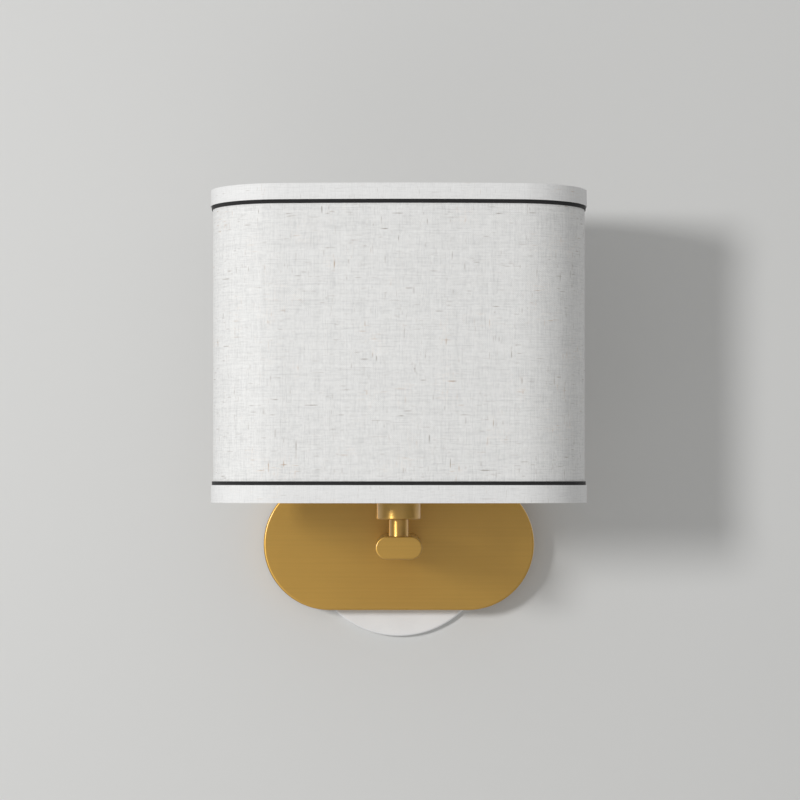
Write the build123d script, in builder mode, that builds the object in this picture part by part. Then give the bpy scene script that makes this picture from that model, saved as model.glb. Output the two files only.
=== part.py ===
from build123d import *
import math
import os

# Fabric shade wall light, in millimetres.
# The wall is the plane y = 0 and the light stands out from it towards -Y. +Z is up, and z = 0 is
# the height of the backplate's centre. The lampholder's axis is vertical, AXIS_DEPTH from the wall.

# ---------------------------------------------------------------- wall disc and crossbar
DISC_RADIUS = 63.5
DISC_THICKNESS = 5.0
DISC_EDGE_ROUND = 1.5
CABLE_HOLE_RADIUS = 11.0
BOX_SLOT_SPACING = 80.0
BOX_SLOT_LENGTH = 17.0
BOX_SLOT_WIDTH = 5.2

BAR_LENGTH = 168.0
BAR_WIDTH = 30.0
BAR_THICKNESS = 2.0
BAR_BEND_RADIUS = 2.5
BAR_TAB_DEPTH = 11.0
BAR_FRONT = DISC_THICKNESS + BAR_THICKNESS

GROUND_SCREW_X = -24.0
GROUND_SCREW_RADIUS = 2.4
GROUND_HEAD_FLATS = 8.0
GROUND_HEAD_HEIGHT = 3.0
GROUND_HEAD_CHAMFER = 0.4

# ---------------------------------------------------------------- backplate
PLATE_LENGTH = 184.0
PLATE_HEIGHT = 90.0
PLATE_WALL = 1.5
PLATE_BACK = 5.0
PLATE_FRONT = 19.5
PLATE_EDGE_ROUND = 1.4
PLATE_INSIDE = PLATE_FRONT - PLATE_WALL

SET_SCREW_DEPTH = 12.0
SET_SCREW_RADIUS = 1.95
SET_SCREW_HOLE = 2.0
SET_SCREW_END = PLATE_LENGTH / 2 - 0.5
SET_SCREW_SOCKET = 2.0
SET_SCREW_SOCKET_DEPTH = 2.0
BOSS_RADIUS = 3.5
BOSS_START = 85.5
BOSS_END = PLATE_LENGTH / 2 - PLATE_WALL / 2

# ---------------------------------------------------------------- terminal block
BLOCK_LEFT = 13.5
BLOCK_WIDTH = 16.0
BLOCK_HEIGHT = 18.0
BLOCK_DEPTH = 8.5
BLOCK_POLE_Z = 4.5
BLOCK_SCREW_SPACING = 9.0
BLOCK_SCREW_RADIUS = 1.5
BLOCK_SCREW_LENGTH = 5.0
BLOCK_SCREW_SUNK = 0.8
BLOCK_EDGE = 0.6
BLOCK_WIRE_HOLE = 1.15
BLOCK_WIRE_ENTRY = 1.8
BLOCK_MIDDLE = BLOCK_LEFT + BLOCK_WIDTH / 2
BLOCK_FRONT = BAR_FRONT + BLOCK_DEPTH
FIXING_HEAD_RADIUS = 2.8
FIXING_HEAD_HEIGHT = 1.4
DRIVER_SLOT_WIDTH = 0.6
DRIVER_SLOT_DEPTH = 0.6

# Gaps round small parts that slide into a hole, and round ones that are pressed in.
SMALL_PART_GAP = 0.05
PRESSED_PART_GAP = 0.02

# ---------------------------------------------------------------- arm
ARM_WIDTH = 30.0
ARM_HEIGHT = 14.6
ARM_WALL = 1.5
ARM_FRONT = 127.0
ARM_CAP = 3.0
ARM_CAP_ROUND = 1.0
ARM_PLUG_GAP = 0.1
ARM_ROOT_PLUG = 12.0
ARM_CAP_PLUG = 4.0
ARM_INNER_WIDTH = ARM_WIDTH - 2 * ARM_WALL
ARM_INNER_HEIGHT = ARM_HEIGHT - 2 * ARM_WALL
ARM_TOP = ARM_HEIGHT / 2
ARM_CEILING = ARM_INNER_HEIGHT / 2

LOCATING_PIN_X = 10.5
LOCATING_PIN_RADIUS = 1.5
LOCATING_PIN_NEAR = 16.5
LOCATING_PIN_FAR = 25.0

# Threaded tube, nuts and washer sizes. A thread's crest is drawn as a plain cylinder.
THREAD_RADIUS = 4.9
THREAD_HOLE = 5.0
THREAD_CLEARANCE = 5.1
NUT_FLATS = 14.0
NUT_THICKNESS = 3.0
THIN_NUT = 2.5
WIRE_BORE = 3.8
STEM_WIRE_BORE = 3.5

WASHER_RADIUS = 8.0
WASHER_THICKNESS = 0.8
WASHER_TEETH = 12
WASHER_TOOTH_DEPTH = 1.4
WASHER_TOOTH_WIDTH = 1.2
LUG_RADIUS = 7.5
LUG_THICKNESS = 0.8
LUG_BARREL_RADIUS = 1.7
LUG_BARREL_LENGTH = 5.0
GROUND_LUG_RADIUS = 5.5
LUG_TONGUE = 1.0
LUG_TONGUE_LENGTH = 2.6
LUG_BARREL_GAP = 0.2
LUG_WIRE_DEPTH = 2.0
WASHER_FRONT = PLATE_INSIDE - WASHER_THICKNESS
LUG_FRONT = WASHER_FRONT - LUG_THICKNESS
PLATE_NUT_FRONT = LUG_FRONT - NUT_THICKNESS
NIPPLE_STANDS_OUT = 0.6
PLATE_NIPPLE_NEAR = PLATE_NUT_FRONT - NIPPLE_STANDS_OUT
BUSH_LENGTH = 1.2
BUSH_RADIUS = 5.2
BUSH_ROUND = 0.4

# ---------------------------------------------------------------- stem, cup and lampholder
AXIS_DEPTH = 110.0
STEM_RADIUS = 6.35
STEM_BORE = 5.1
STEM_NIPPLE_STANDS_OUT = 1.0
STEM_NIPPLE_BOTTOM = ARM_CEILING - THIN_NUT - STEM_NIPPLE_STANDS_OUT

CUP_BOTTOM = 18.2
CUP_HEIGHT = 40.0
CUP_RADIUS = 14.5
CUP_WALL = 0.9
CUP_FLOOR = 1.2
CUP_EDGE_ROUND = 0.7
CUP_TOP = CUP_BOTTOM + CUP_HEIGHT
CUP_NUT_BOTTOM = CUP_BOTTOM + CUP_FLOOR

DOME_BOTTOM = CUP_NUT_BOTTOM + NUT_THICKNESS
DOME_RADIUS = 12.8
DOME_FLOOR = 4.0
DOME_CHAMBER = 10.0
DOME_SOCKET = 11.0
DOME_LEDGE = 38.0
DOME_TOP = 46.0

CORE_RADIUS = 10.8
CORE_SHOULDER = 54.0
CORE_TUBE_RADIUS = 8.3
CORE_TUBE_BORE = 7.1
CORE_TOP = 75.0
SPRING_HOLE = 3.1
SPRING_HOLE_TOP = 51.0
PLUNGER_HOLE = 1.6

SHELL_RADIUS = 6.9
SHELL_WALL = 0.5
SHELL_FLOOR_HOLE = 3.0
SHELL_TOP = 74.5

FLANGE_RADIUS = 16.5
FLANGE_THICKNESS = 2.5
FLANGE_TOP = CUP_TOP + FLANGE_THICKNESS
BARREL_RADIUS = 13.8
BARREL_BORE = 8.5
BARREL_LIP = 7.2
BARREL_TOP = 76.0
THREAD_PITCH = 2.0
THREAD_DEPTH = 0.5
THREAD_START = FLANGE_TOP + 2.3
THREAD_TURNS = 6

TERMINAL_THICKNESS = 0.8
TERMINAL_BOTTOM = DOME_LEDGE - TERMINAL_THICKNESS
CLAMP_SIZE = 5.0
CLAMP_HEIGHT = 3.0
CLAMP_X = 6.5
CLAMP_BOTTOM = TERMINAL_BOTTOM - CLAMP_HEIGHT
RIVET_X = 5.2
RIVET_RADIUS = 0.8

PLUNGER_RADIUS = 1.5
PLUNGER_COLLAR = 2.7
PLUNGER_COLLAR_BOTTOM = 46.0
PLUNGER_COLLAR_TOP = 47.0
PLUNGER_TOP = 55.0
PLUNGER_CHAMFER = 0.3
SPRING_WIRE = 0.25
SPRING_RADIUS = 2.4
SPRING_TURNS = 7

RING_RADIUS = 19.5
RING_BORE = 13.9
RING_HEIGHT = 6.0
RING_GRIPS = 24
RING_GRIP_RADIUS = 1.0

# ---------------------------------------------------------------- wires
WIRE_RADIUS = 1.0
WIRE_PAIR_OFFSET = 1.3
BLOCK_WIRE_DEPTH = 9.8
BLOCK_LEAD = 3.5
BLOCK_LEAD_BEND = 8.0
NIPPLE_BEND = 6.0
ARM_DROP_START = 34.0
ARM_DROP_END = 52.0
ARM_DROP_BEND = 20.0
LINE_WIRE_ARM_Z = -4.6
LINE_STEM_BEND = 6.5
NEUTRAL_WIRE_ARM_Z = -2.4
NEUTRAL_STEM_BEND = 5.0
WIRE_FAN_START = 25.8
WIRE_FAN_END = 31.2
WIRE_FAN_BEND = 5.0
GROUND_LOOP_TOP = 32.0
GROUND_PLATE_RISE = 23.0
GROUND_BAR_RISE = 22.0
GROUND_SIDE_BEND = 10.0
GROUND_TOP_BEND = 8.0

# ---------------------------------------------------------------- lamp
TIP_RADIUS = 1.9
TIP_BOTTOM = PLUNGER_TOP + SMALL_PART_GAP
TIP_HEIGHT = 1.15
TIP_ROUND = 0.6
INSULATOR_SMALL_RADIUS = 2.4
INSULATOR_BOTTOM = 55.9
CAP_BOTTOM = 58.5
CAP_RADIUS = 5.95
CAP_WALL = 0.4
CAP_TOP = 76.6
CAP_PITCH = 2.54
CAP_THREAD_DEPTH = 0.3
CAP_THREAD_TURNS = 5
CAP_THREAD_START = 60.5
GLASS_WALL = 0.8
GLASS_NECK_RADIUS = 5.3
GLASS_NECK_BOTTOM = 70.0
GLASS_SHOULDER_RADIUS = 11.0
GLASS_SHOULDER_Z = 87.0
GLASS_RADIUS = 17.5
GLASS_WIDEST_Z = 108.0
GLASS_TAPER_RADIUS = 12.5
GLASS_TAPER_Z = 133.0
GLASS_TOP = 153.0
PILLAR_RADIUS = 2.2
PILLAR_FOOT_RADIUS = 4.4
PILLAR_FOOT_TOP = 75.0
PILLAR_TOP = 90.0
PILLAR_ROUND = 1.0
FILAMENT_RADIUS = 0.8
FILAMENT_CIRCLE = 5.0
FILAMENT_BOTTOM = 92.0
FILAMENT_TOP = 124.0
LEAD_RADIUS = 0.4
FILAMENT_COUNT = 4

# ---------------------------------------------------------------- shade
SHADE_WIDTH = 239.2
SHADE_DEPTH = 108.0
SHADE_CORNER = 48.0
SHADE_BOW = 1000.0
SHADE_BOTTOM = 28.9
SHADE_HEIGHT = 200.5
SHADE_TOP = SHADE_BOTTOM + SHADE_HEIGHT
CLOTH = 0.9
LINER = 0.6
TAPE = 0.7
WHITE_TAPE_OUT = 2 * TAPE
TOP_WHITE_WIDTH = 10.2
TOP_BLACK_END = 12.6
BOTTOM_WHITE_WIDTH = 11.35
BOTTOM_BLACK_END = 13.75
SHADE_INSIDE = CLOTH + LINER
RING_WIRE = 1.5
RING_INSET = SHADE_INSIDE + RING_WIRE
TAPE_INSIDE = SHADE_INSIDE + 2 * RING_WIRE + TAPE
TAPE_TURN_IN = 9.0

HUB_RADIUS = 21.0
HUB_BORE = 14.1
HUB_THICKNESS = 1.5
ARM_WIRE = 1.5
ARM_WIRE_START = 18.0
ARM_WIRE_SINK = 0.4
LONG_ARM_FLAT = 26.0
LONG_ARM_TOE = 10.0
LONG_ARM_TOE_RISE = 2.0
LONG_ARM_BEND = 8.0
SHORT_ARM_FLAT = 24.0
SHORT_ARM_TOE = 5.0
SHORT_ARM_TOE_RISE = 3.0
SHORT_ARM_BEND = 4.0
ARM_NOTCH = 6.0

os.makedirs("parts", exist_ok=True)


# ---------------------------------------------------------------- planes and repeated steps
def wall_level(distance):
    """Plane parallel to the wall at a distance from it, facing away from the wall."""
    return Plane.XZ.offset(distance)


def lamp_level(height):
    """Horizontal plane with its origin on the lampholder's axis."""
    return Plane((0, -AXIS_DEPTH, height))


LATHE = Plane(origin=(0, -AXIS_DEPTH, 0), x_dir=(1, 0, 0), z_dir=(0, -1, 0))
LAMP_AXIS = Axis((0, -AXIS_DEPTH, 0), (0, 0, 1))


def cylinder(plane, length, radius, bore=0.0, mode=Mode.ADD):
    """Add a round length standing on a plane to the part being built, or cut one from it."""
    with BuildSketch(plane) as section:
        Circle(radius)
        if bore:
            Circle(bore, mode=Mode.SUBTRACT)
    extrude(section.sketch, amount=length, mode=mode)


def turned(low, high, radius, bore=0.0, mode=Mode.ADD):
    """Add or cut a round length on the lampholder's axis between two heights."""
    cylinder(lamp_level(low), high - low, radius, bore, mode)


def nut(plane, length, across_flats, bore):
    """Add a hexagon nut standing on a plane, with its flats square to the plane's X."""
    with BuildSketch(plane) as section:
        RegularPolygon(across_flats / 2, 6, major_radius=False, rotation=30)
        Circle(bore, mode=Mode.SUBTRACT)
    extrude(section.sketch, amount=length)


def bent_rod(points, radii, rod_radius):
    """A round rod along straight runs joined by tangent arcs."""
    with BuildPart() as rod:
        with BuildLine() as route:
            FilletPolyline(*points, radius=radii)
        with BuildSketch(Plane(origin=route.line @ 0, z_dir=route.line % 0)):
            Circle(rod_radius)
        sweep(path=route.line)
    return rod.part


def shade_outline(grow):
    """Draw the shade's plan, a distance outside the cloth: bowed front and back, round corners."""
    corner_x = SHADE_WIDTH / 2 - SHADE_CORNER
    bow_y = SHADE_DEPTH / 2 - SHADE_BOW
    corner_y = bow_y + math.sqrt((SHADE_BOW - SHADE_CORNER) ** 2 - corner_x**2)
    bow_turn = math.degrees(math.asin(corner_x / (SHADE_BOW - SHADE_CORNER)))
    corner = SHADE_CORNER + grow
    bow = SHADE_BOW + grow
    CenterArc((corner_x, corner_y), corner, 0, 90 - bow_turn)
    CenterArc((0, bow_y), bow, 90 - bow_turn, 2 * bow_turn)
    CenterArc((-corner_x, corner_y), corner, 90 + bow_turn, 90 - bow_turn)
    Line((-corner_x - corner, corner_y), (-corner_x - corner, -corner_y))
    CenterArc((-corner_x, -corner_y), corner, 180, 90 - bow_turn)
    CenterArc((0, -bow_y), bow, 270 - bow_turn, 2 * bow_turn)
    CenterArc((corner_x, -corner_y), corner, 270 + bow_turn, 90 - bow_turn)
    Line((corner_x + corner, -corner_y), (corner_x + corner, corner_y))


def shade_wall(low, high, outer, inner):
    """Add a wall in the shade's plan shape, between two offsets from the cloth's outside face."""
    with BuildSketch(lamp_level(low)) as section:
        with BuildLine():
            shade_outline(outer)
        make_face()
        with BuildLine():
            shade_outline(inner)
        make_face(mode=Mode.SUBTRACT)
    extrude(section.sketch, amount=high - low)


# ---------------------------------------------------------------- wall side
with BuildPart() as wall_disc:
    cylinder(wall_level(0), DISC_THICKNESS, DISC_RADIUS, CABLE_HOLE_RADIUS)
    front_edge = wall_disc.edges().group_by(Axis.Y)[0].sort_by(SortBy.LENGTH)[-1]
    fillet(front_edge, radius=DISC_EDGE_ROUND)
    with BuildSketch(wall_level(0)):
        with GridLocations(BOX_SLOT_SPACING, 0, 2, 1):
            SlotOverall(BOX_SLOT_LENGTH, BOX_SLOT_WIDTH)
    extrude(amount=DISC_THICKNESS, mode=Mode.SUBTRACT)
wall_disc.part.label = "wall_disc"
export_step(wall_disc.part, "parts/wall_disc.step")

bar_end = BAR_LENGTH / 2 - BAR_THICKNESS / 2
bar_middle = DISC_THICKNESS + BAR_THICKNESS / 2
tab_end = DISC_THICKNESS + BAR_TAB_DEPTH
with BuildPart() as crossbar:
    with BuildLine() as bar_line:
        FilletPolyline(
            (-bar_end, -tab_end, 0),
            (-bar_end, -bar_middle, 0),
            (bar_end, -bar_middle, 0),
            (bar_end, -tab_end, 0),
            radius=BAR_BEND_RADIUS,
        )
    with BuildSketch(Plane(origin=bar_line.line @ 0, x_dir=(1, 0, 0), z_dir=bar_line.line % 0)):
        Rectangle(BAR_THICKNESS, BAR_WIDTH)
    sweep(path=bar_line.line)
    with BuildSketch(wall_level(DISC_THICKNESS)):
        Circle(CABLE_HOLE_RADIUS)
        with GridLocations(BOX_SLOT_SPACING, 0, 2, 1):
            SlotOverall(BOX_SLOT_LENGTH, BOX_SLOT_WIDTH)
        with Locations((GROUND_SCREW_X, 0)):
            Circle(GROUND_SCREW_RADIUS)
        with Locations((BLOCK_MIDDLE, 0)):
            Circle(BLOCK_SCREW_RADIUS)
    extrude(amount=BAR_THICKNESS, mode=Mode.SUBTRACT)
crossbar.part.label = "crossbar"
export_step(crossbar.part, "parts/crossbar.step")

# The ground screw holds a ring terminal against the crossbar.
ground_lug_front = BAR_FRONT + LUG_THICKNESS
with BuildPart() as ground_screw:
    with BuildSketch(wall_level(DISC_THICKNESS)):
        with Locations((GROUND_SCREW_X, 0)):
            Circle(GROUND_SCREW_RADIUS)
    extrude(amount=ground_lug_front - DISC_THICKNESS)
    with BuildSketch(wall_level(ground_lug_front)):
        with Locations((GROUND_SCREW_X, 0)):
            RegularPolygon(GROUND_HEAD_FLATS / 2, 6, major_radius=False)
    extrude(amount=GROUND_HEAD_HEIGHT)
    chamfer(ground_screw.edges().group_by(Axis.Y)[0], length=GROUND_HEAD_CHAMFER)
ground_screw.part.label = "ground_screw"
export_step(ground_screw.part, "parts/ground_screw.step")

# One ring terminal lies under the nut that holds the arm, the other under the ground screw. Each
# has a short tongue up to its barrel.
plate_lug_depth = PLATE_INSIDE - LUG_BARREL_RADIUS - LUG_BARREL_GAP
bar_lug_depth = BAR_FRONT + LUG_BARREL_RADIUS
plate_barrel = Plane((0, -plate_lug_depth, LUG_RADIUS + LUG_TONGUE))
bar_barrel = Plane((GROUND_SCREW_X, -bar_lug_depth, GROUND_LUG_RADIUS + LUG_TONGUE))
with BuildPart() as ring_terminals:
    with BuildSketch(wall_level(LUG_FRONT)):
        Circle(LUG_RADIUS)
        with Locations((0, LUG_RADIUS)):
            Rectangle(2 * LUG_BARREL_RADIUS, LUG_TONGUE_LENGTH)
        Circle(THREAD_CLEARANCE, mode=Mode.SUBTRACT)
    extrude(amount=LUG_THICKNESS)
    with BuildSketch(wall_level(BAR_FRONT)):
        with Locations((GROUND_SCREW_X, 0)):
            Circle(GROUND_LUG_RADIUS)
        with Locations((GROUND_SCREW_X, GROUND_LUG_RADIUS)):
            Rectangle(2 * LUG_BARREL_RADIUS, LUG_TONGUE_LENGTH)
        with Locations((GROUND_SCREW_X, 0)):
            Circle(GROUND_SCREW_RADIUS, mode=Mode.SUBTRACT)
    extrude(amount=LUG_THICKNESS)
    for barrel_plane in (plate_barrel, bar_barrel):
        cylinder(barrel_plane, LUG_BARREL_LENGTH, LUG_BARREL_RADIUS)
        cylinder(barrel_plane, LUG_BARREL_LENGTH, WIRE_RADIUS, mode=Mode.SUBTRACT)
ring_terminals.part.label = "ring_terminals"
export_step(ring_terminals.part, "parts/ring_terminals.step")

with BuildPart() as terminal_block:
    with BuildSketch(wall_level(BAR_FRONT)):
        with Locations((BLOCK_MIDDLE, 0)):
            Rectangle(BLOCK_WIDTH, BLOCK_HEIGHT)
    extrude(amount=BLOCK_DEPTH)
    chamfer(terminal_block.edges().group_by(Axis.Y)[0], length=BLOCK_EDGE)
    block_side = Plane(origin=(BLOCK_LEFT, -BLOCK_WIRE_DEPTH, 0), x_dir=(0, 1, 0), z_dir=(1, 0, 0))
    with BuildSketch(block_side):
        with Locations((0, BLOCK_POLE_Z), (0, -BLOCK_POLE_Z)):
            Circle(BLOCK_WIRE_HOLE)
    extrude(amount=BLOCK_WIDTH, mode=Mode.SUBTRACT)
    with BuildSketch(wall_level(BLOCK_FRONT)):
        with Locations((BLOCK_MIDDLE, 0)):
            with GridLocations(BLOCK_SCREW_SPACING, 2 * BLOCK_POLE_Z, 2, 2):
                Circle(BLOCK_SCREW_RADIUS)
    extrude(amount=-BLOCK_SCREW_LENGTH, mode=Mode.SUBTRACT)
    with BuildSketch(wall_level(BAR_FRONT)):
        with Locations((BLOCK_MIDDLE, 0)):
            Circle(BLOCK_SCREW_RADIUS)
    extrude(amount=BLOCK_DEPTH, mode=Mode.SUBTRACT)
terminal_block.part.label = "terminal_block"
export_step(terminal_block.part, "parts/terminal_block.step")

with BuildPart() as block_screws:
    with BuildSketch(wall_level(BLOCK_FRONT - BLOCK_SCREW_LENGTH)):
        with Locations((BLOCK_MIDDLE, 0)):
            with GridLocations(BLOCK_SCREW_SPACING, 2 * BLOCK_POLE_Z, 2, 2):
                Circle(BLOCK_SCREW_RADIUS - SMALL_PART_GAP)
    extrude(amount=BLOCK_SCREW_LENGTH - BLOCK_SCREW_SUNK)
    with BuildSketch(wall_level(BLOCK_FRONT - BLOCK_SCREW_SUNK - DRIVER_SLOT_DEPTH)):
        with Locations((BLOCK_MIDDLE, 0)):
            with GridLocations(BLOCK_SCREW_SPACING, 2 * BLOCK_POLE_Z, 2, 2):
                Rectangle(2 * BLOCK_SCREW_RADIUS, DRIVER_SLOT_WIDTH)
    extrude(amount=DRIVER_SLOT_DEPTH, mode=Mode.SUBTRACT)
block_screws.part.label = "block_screws"
export_step(block_screws.part, "parts/block_screws.step")

with BuildPart() as block_fixing_screw:
    with BuildSketch(wall_level(DISC_THICKNESS)):
        with Locations((BLOCK_MIDDLE, 0)):
            Circle(BLOCK_SCREW_RADIUS - SMALL_PART_GAP)
    extrude(amount=BLOCK_FRONT - DISC_THICKNESS)
    with BuildSketch(wall_level(BLOCK_FRONT)):
        with Locations((BLOCK_MIDDLE, 0)):
            Circle(FIXING_HEAD_RADIUS)
    extrude(amount=FIXING_HEAD_HEIGHT)
    with BuildSketch(wall_level(BLOCK_FRONT + FIXING_HEAD_HEIGHT - DRIVER_SLOT_DEPTH)):
        with Locations((BLOCK_MIDDLE, 0)):
            Rectangle(2 * FIXING_HEAD_RADIUS + DRIVER_SLOT_WIDTH, DRIVER_SLOT_WIDTH)
    extrude(amount=DRIVER_SLOT_DEPTH, mode=Mode.SUBTRACT)
block_fixing_screw.part.label = "block_fixing_screw"
export_step(block_fixing_screw.part, "parts/block_fixing_screw.step")

# ---------------------------------------------------------------- backplate and its fixings
with BuildPart() as backplate:
    with BuildSketch(wall_level(PLATE_BACK)):
        SlotOverall(PLATE_LENGTH, PLATE_HEIGHT)
    extrude(amount=PLATE_FRONT - PLATE_BACK)
    fillet(backplate.edges().group_by(Axis.Y)[0], radius=PLATE_EDGE_ROUND)
    with BuildSketch(wall_level(PLATE_BACK)):
        SlotOverall(PLATE_LENGTH - 2 * PLATE_WALL, PLATE_HEIGHT - 2 * PLATE_WALL)
    extrude(amount=PLATE_INSIDE - PLATE_BACK, mode=Mode.SUBTRACT)
    for side in (-1, 1):
        boss_plane = Plane(origin=(side * BOSS_START, -SET_SCREW_DEPTH, 0), z_dir=(side, 0, 0))
        cylinder(boss_plane, BOSS_END - BOSS_START, BOSS_RADIUS)
        cylinder(boss_plane, PLATE_LENGTH / 2 - BOSS_START, SET_SCREW_HOLE, mode=Mode.SUBTRACT)
    with BuildSketch(wall_level(PLATE_INSIDE)):
        Circle(THREAD_CLEARANCE)
        with Locations((LOCATING_PIN_X, 0)):
            Circle(LOCATING_PIN_RADIUS)
    extrude(amount=PLATE_WALL, mode=Mode.SUBTRACT)
backplate.part.label = "backplate"
export_step(backplate.part, "parts/backplate.step")

with BuildPart() as plate_set_screws:
    for side in (-1, 1):
        tip_plane = Plane(origin=(side * BAR_LENGTH / 2, -SET_SCREW_DEPTH, 0), z_dir=(side, 0, 0))
        cylinder(tip_plane, SET_SCREW_END - BAR_LENGTH / 2, SET_SCREW_RADIUS)
        socket_plane = tip_plane.offset(SET_SCREW_END - BAR_LENGTH / 2 - SET_SCREW_SOCKET_DEPTH)
        with BuildSketch(socket_plane):
            RegularPolygon(SET_SCREW_SOCKET / 2, 6, major_radius=False)
        extrude(amount=SET_SCREW_SOCKET_DEPTH, mode=Mode.SUBTRACT)
plate_set_screws.part.label = "plate_set_screws"
export_step(plate_set_screws.part, "parts/plate_set_screws.step")

with BuildPart() as star_washer:
    with BuildSketch(wall_level(WASHER_FRONT)):
        Circle(WASHER_RADIUS)
        Circle(THREAD_CLEARANCE, mode=Mode.SUBTRACT)
        with PolarLocations(WASHER_RADIUS, WASHER_TEETH):
            Rectangle(2 * WASHER_TOOTH_DEPTH, WASHER_TOOTH_WIDTH, mode=Mode.SUBTRACT)
    extrude(amount=WASHER_THICKNESS)
star_washer.part.label = "star_washer"
export_step(star_washer.part, "parts/star_washer.step")

with BuildPart() as plate_nut:
    nut(wall_level(PLATE_NUT_FRONT), NUT_THICKNESS, NUT_FLATS, THREAD_HOLE)
plate_nut.part.label = "plate_nut"
export_step(plate_nut.part, "parts/plate_nut.step")

with BuildPart() as plate_nipple:
    nipple_length = PLATE_FRONT + ARM_ROOT_PLUG - PLATE_NIPPLE_NEAR
    cylinder(wall_level(PLATE_NIPPLE_NEAR), nipple_length, THREAD_RADIUS, WIRE_BORE)
plate_nipple.part.label = "plate_nipple"
export_step(plate_nipple.part, "parts/plate_nipple.step")

with BuildPart() as nipple_bush:
    bush_plane = wall_level(PLATE_NIPPLE_NEAR - BUSH_LENGTH)
    cylinder(bush_plane, BUSH_LENGTH, BUSH_RADIUS, WIRE_BORE)
    fillet(nipple_bush.edges().group_by(Axis.Y)[-1], radius=BUSH_ROUND)
nipple_bush.part.label = "nipple_bush"
export_step(nipple_bush.part, "parts/nipple_bush.step")

# ---------------------------------------------------------------- arm
with BuildPart() as arm_tube:
    with BuildSketch(wall_level(PLATE_FRONT)):
        SlotOverall(ARM_WIDTH, ARM_HEIGHT)
        SlotOverall(ARM_INNER_WIDTH, ARM_INNER_HEIGHT, mode=Mode.SUBTRACT)
    extrude(amount=ARM_FRONT - ARM_CAP - PLATE_FRONT)
    turned(0, ARM_TOP, THREAD_CLEARANCE, mode=Mode.SUBTRACT)
arm_tube.part.label = "arm_tube"
export_step(arm_tube.part, "parts/arm_tube.step")

plug_width = ARM_INNER_WIDTH - 2 * ARM_PLUG_GAP
plug_height = ARM_INNER_HEIGHT - 2 * ARM_PLUG_GAP
with BuildPart() as arm_root_plug:
    with BuildSketch(wall_level(PLATE_FRONT)):
        SlotOverall(plug_width, plug_height)
        Circle(THREAD_HOLE, mode=Mode.SUBTRACT)
    extrude(amount=ARM_ROOT_PLUG)
    pin_plane = wall_level(PLATE_FRONT).move(Location((LOCATING_PIN_X, 0, 0)))
    cylinder(pin_plane, LOCATING_PIN_FAR - PLATE_FRONT, LOCATING_PIN_RADIUS, mode=Mode.SUBTRACT)
arm_root_plug.part.label = "arm_root_plug"
export_step(arm_root_plug.part, "parts/arm_root_plug.step")

with BuildPart() as locating_pin:
    near_plane = wall_level(LOCATING_PIN_NEAR).move(Location((LOCATING_PIN_X, 0, 0)))
    pin_radius = LOCATING_PIN_RADIUS - PRESSED_PART_GAP
    cylinder(near_plane, LOCATING_PIN_FAR - LOCATING_PIN_NEAR, pin_radius)
locating_pin.part.label = "locating_pin"
export_step(locating_pin.part, "parts/locating_pin.step")

with BuildPart() as arm_end_cap:
    with BuildSketch(wall_level(ARM_FRONT - ARM_CAP)):
        SlotOverall(ARM_WIDTH, ARM_HEIGHT)
    extrude(amount=ARM_CAP)
    fillet(arm_end_cap.edges().group_by(Axis.Y)[0], radius=ARM_CAP_ROUND)
    with BuildSketch(wall_level(ARM_FRONT - ARM_CAP - ARM_CAP_PLUG)):
        SlotOverall(plug_width, plug_height)
    extrude(amount=ARM_CAP_PLUG)
arm_end_cap.part.label = "arm_end_cap"
export_step(arm_end_cap.part, "parts/arm_end_cap.step")

# ---------------------------------------------------------------- stem and cup
with BuildPart() as arm_nut:
    nut(lamp_level(ARM_CEILING - THIN_NUT), THIN_NUT, NUT_FLATS, THREAD_HOLE)
arm_nut.part.label = "arm_nut"
export_step(arm_nut.part, "parts/arm_nut.step")

with BuildPart() as stem_nipple:
    turned(STEM_NIPPLE_BOTTOM, DOME_BOTTOM + DOME_FLOOR, THREAD_RADIUS, STEM_WIRE_BORE)
stem_nipple.part.label = "stem_nipple"
export_step(stem_nipple.part, "parts/stem_nipple.step")

with BuildPart() as stem_tube:
    turned(ARM_TOP, CUP_BOTTOM, STEM_RADIUS, STEM_BORE)
stem_tube.part.label = "stem_tube"
export_step(stem_tube.part, "parts/stem_tube.step")

with BuildPart() as lampholder_cup:
    turned(CUP_BOTTOM, CUP_TOP, CUP_RADIUS)
    fillet(lampholder_cup.edges().group_by(Axis.Z)[0], radius=CUP_EDGE_ROUND)
    turned(CUP_NUT_BOTTOM, CUP_TOP, CUP_RADIUS - CUP_WALL, mode=Mode.SUBTRACT)
    turned(CUP_BOTTOM, CUP_NUT_BOTTOM, THREAD_CLEARANCE, mode=Mode.SUBTRACT)
lampholder_cup.part.label = "lampholder_cup"
export_step(lampholder_cup.part, "parts/lampholder_cup.step")

with BuildPart() as cup_nut:
    nut(lamp_level(CUP_NUT_BOTTOM), NUT_THICKNESS, NUT_FLATS, THREAD_HOLE)
cup_nut.part.label = "cup_nut"
export_step(cup_nut.part, "parts/cup_nut.step")

# ---------------------------------------------------------------- lampholder
with BuildPart() as holder_dome:
    turned(DOME_BOTTOM, DOME_TOP, DOME_RADIUS)
    turned(DOME_BOTTOM, DOME_BOTTOM + DOME_FLOOR, THREAD_HOLE, mode=Mode.SUBTRACT)
    turned(DOME_BOTTOM + DOME_FLOOR, DOME_LEDGE, DOME_CHAMBER, mode=Mode.SUBTRACT)
    turned(DOME_LEDGE, DOME_TOP, DOME_SOCKET, mode=Mode.SUBTRACT)
holder_dome.part.label = "holder_dome"
export_step(holder_dome.part, "parts/holder_dome.step")

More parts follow.
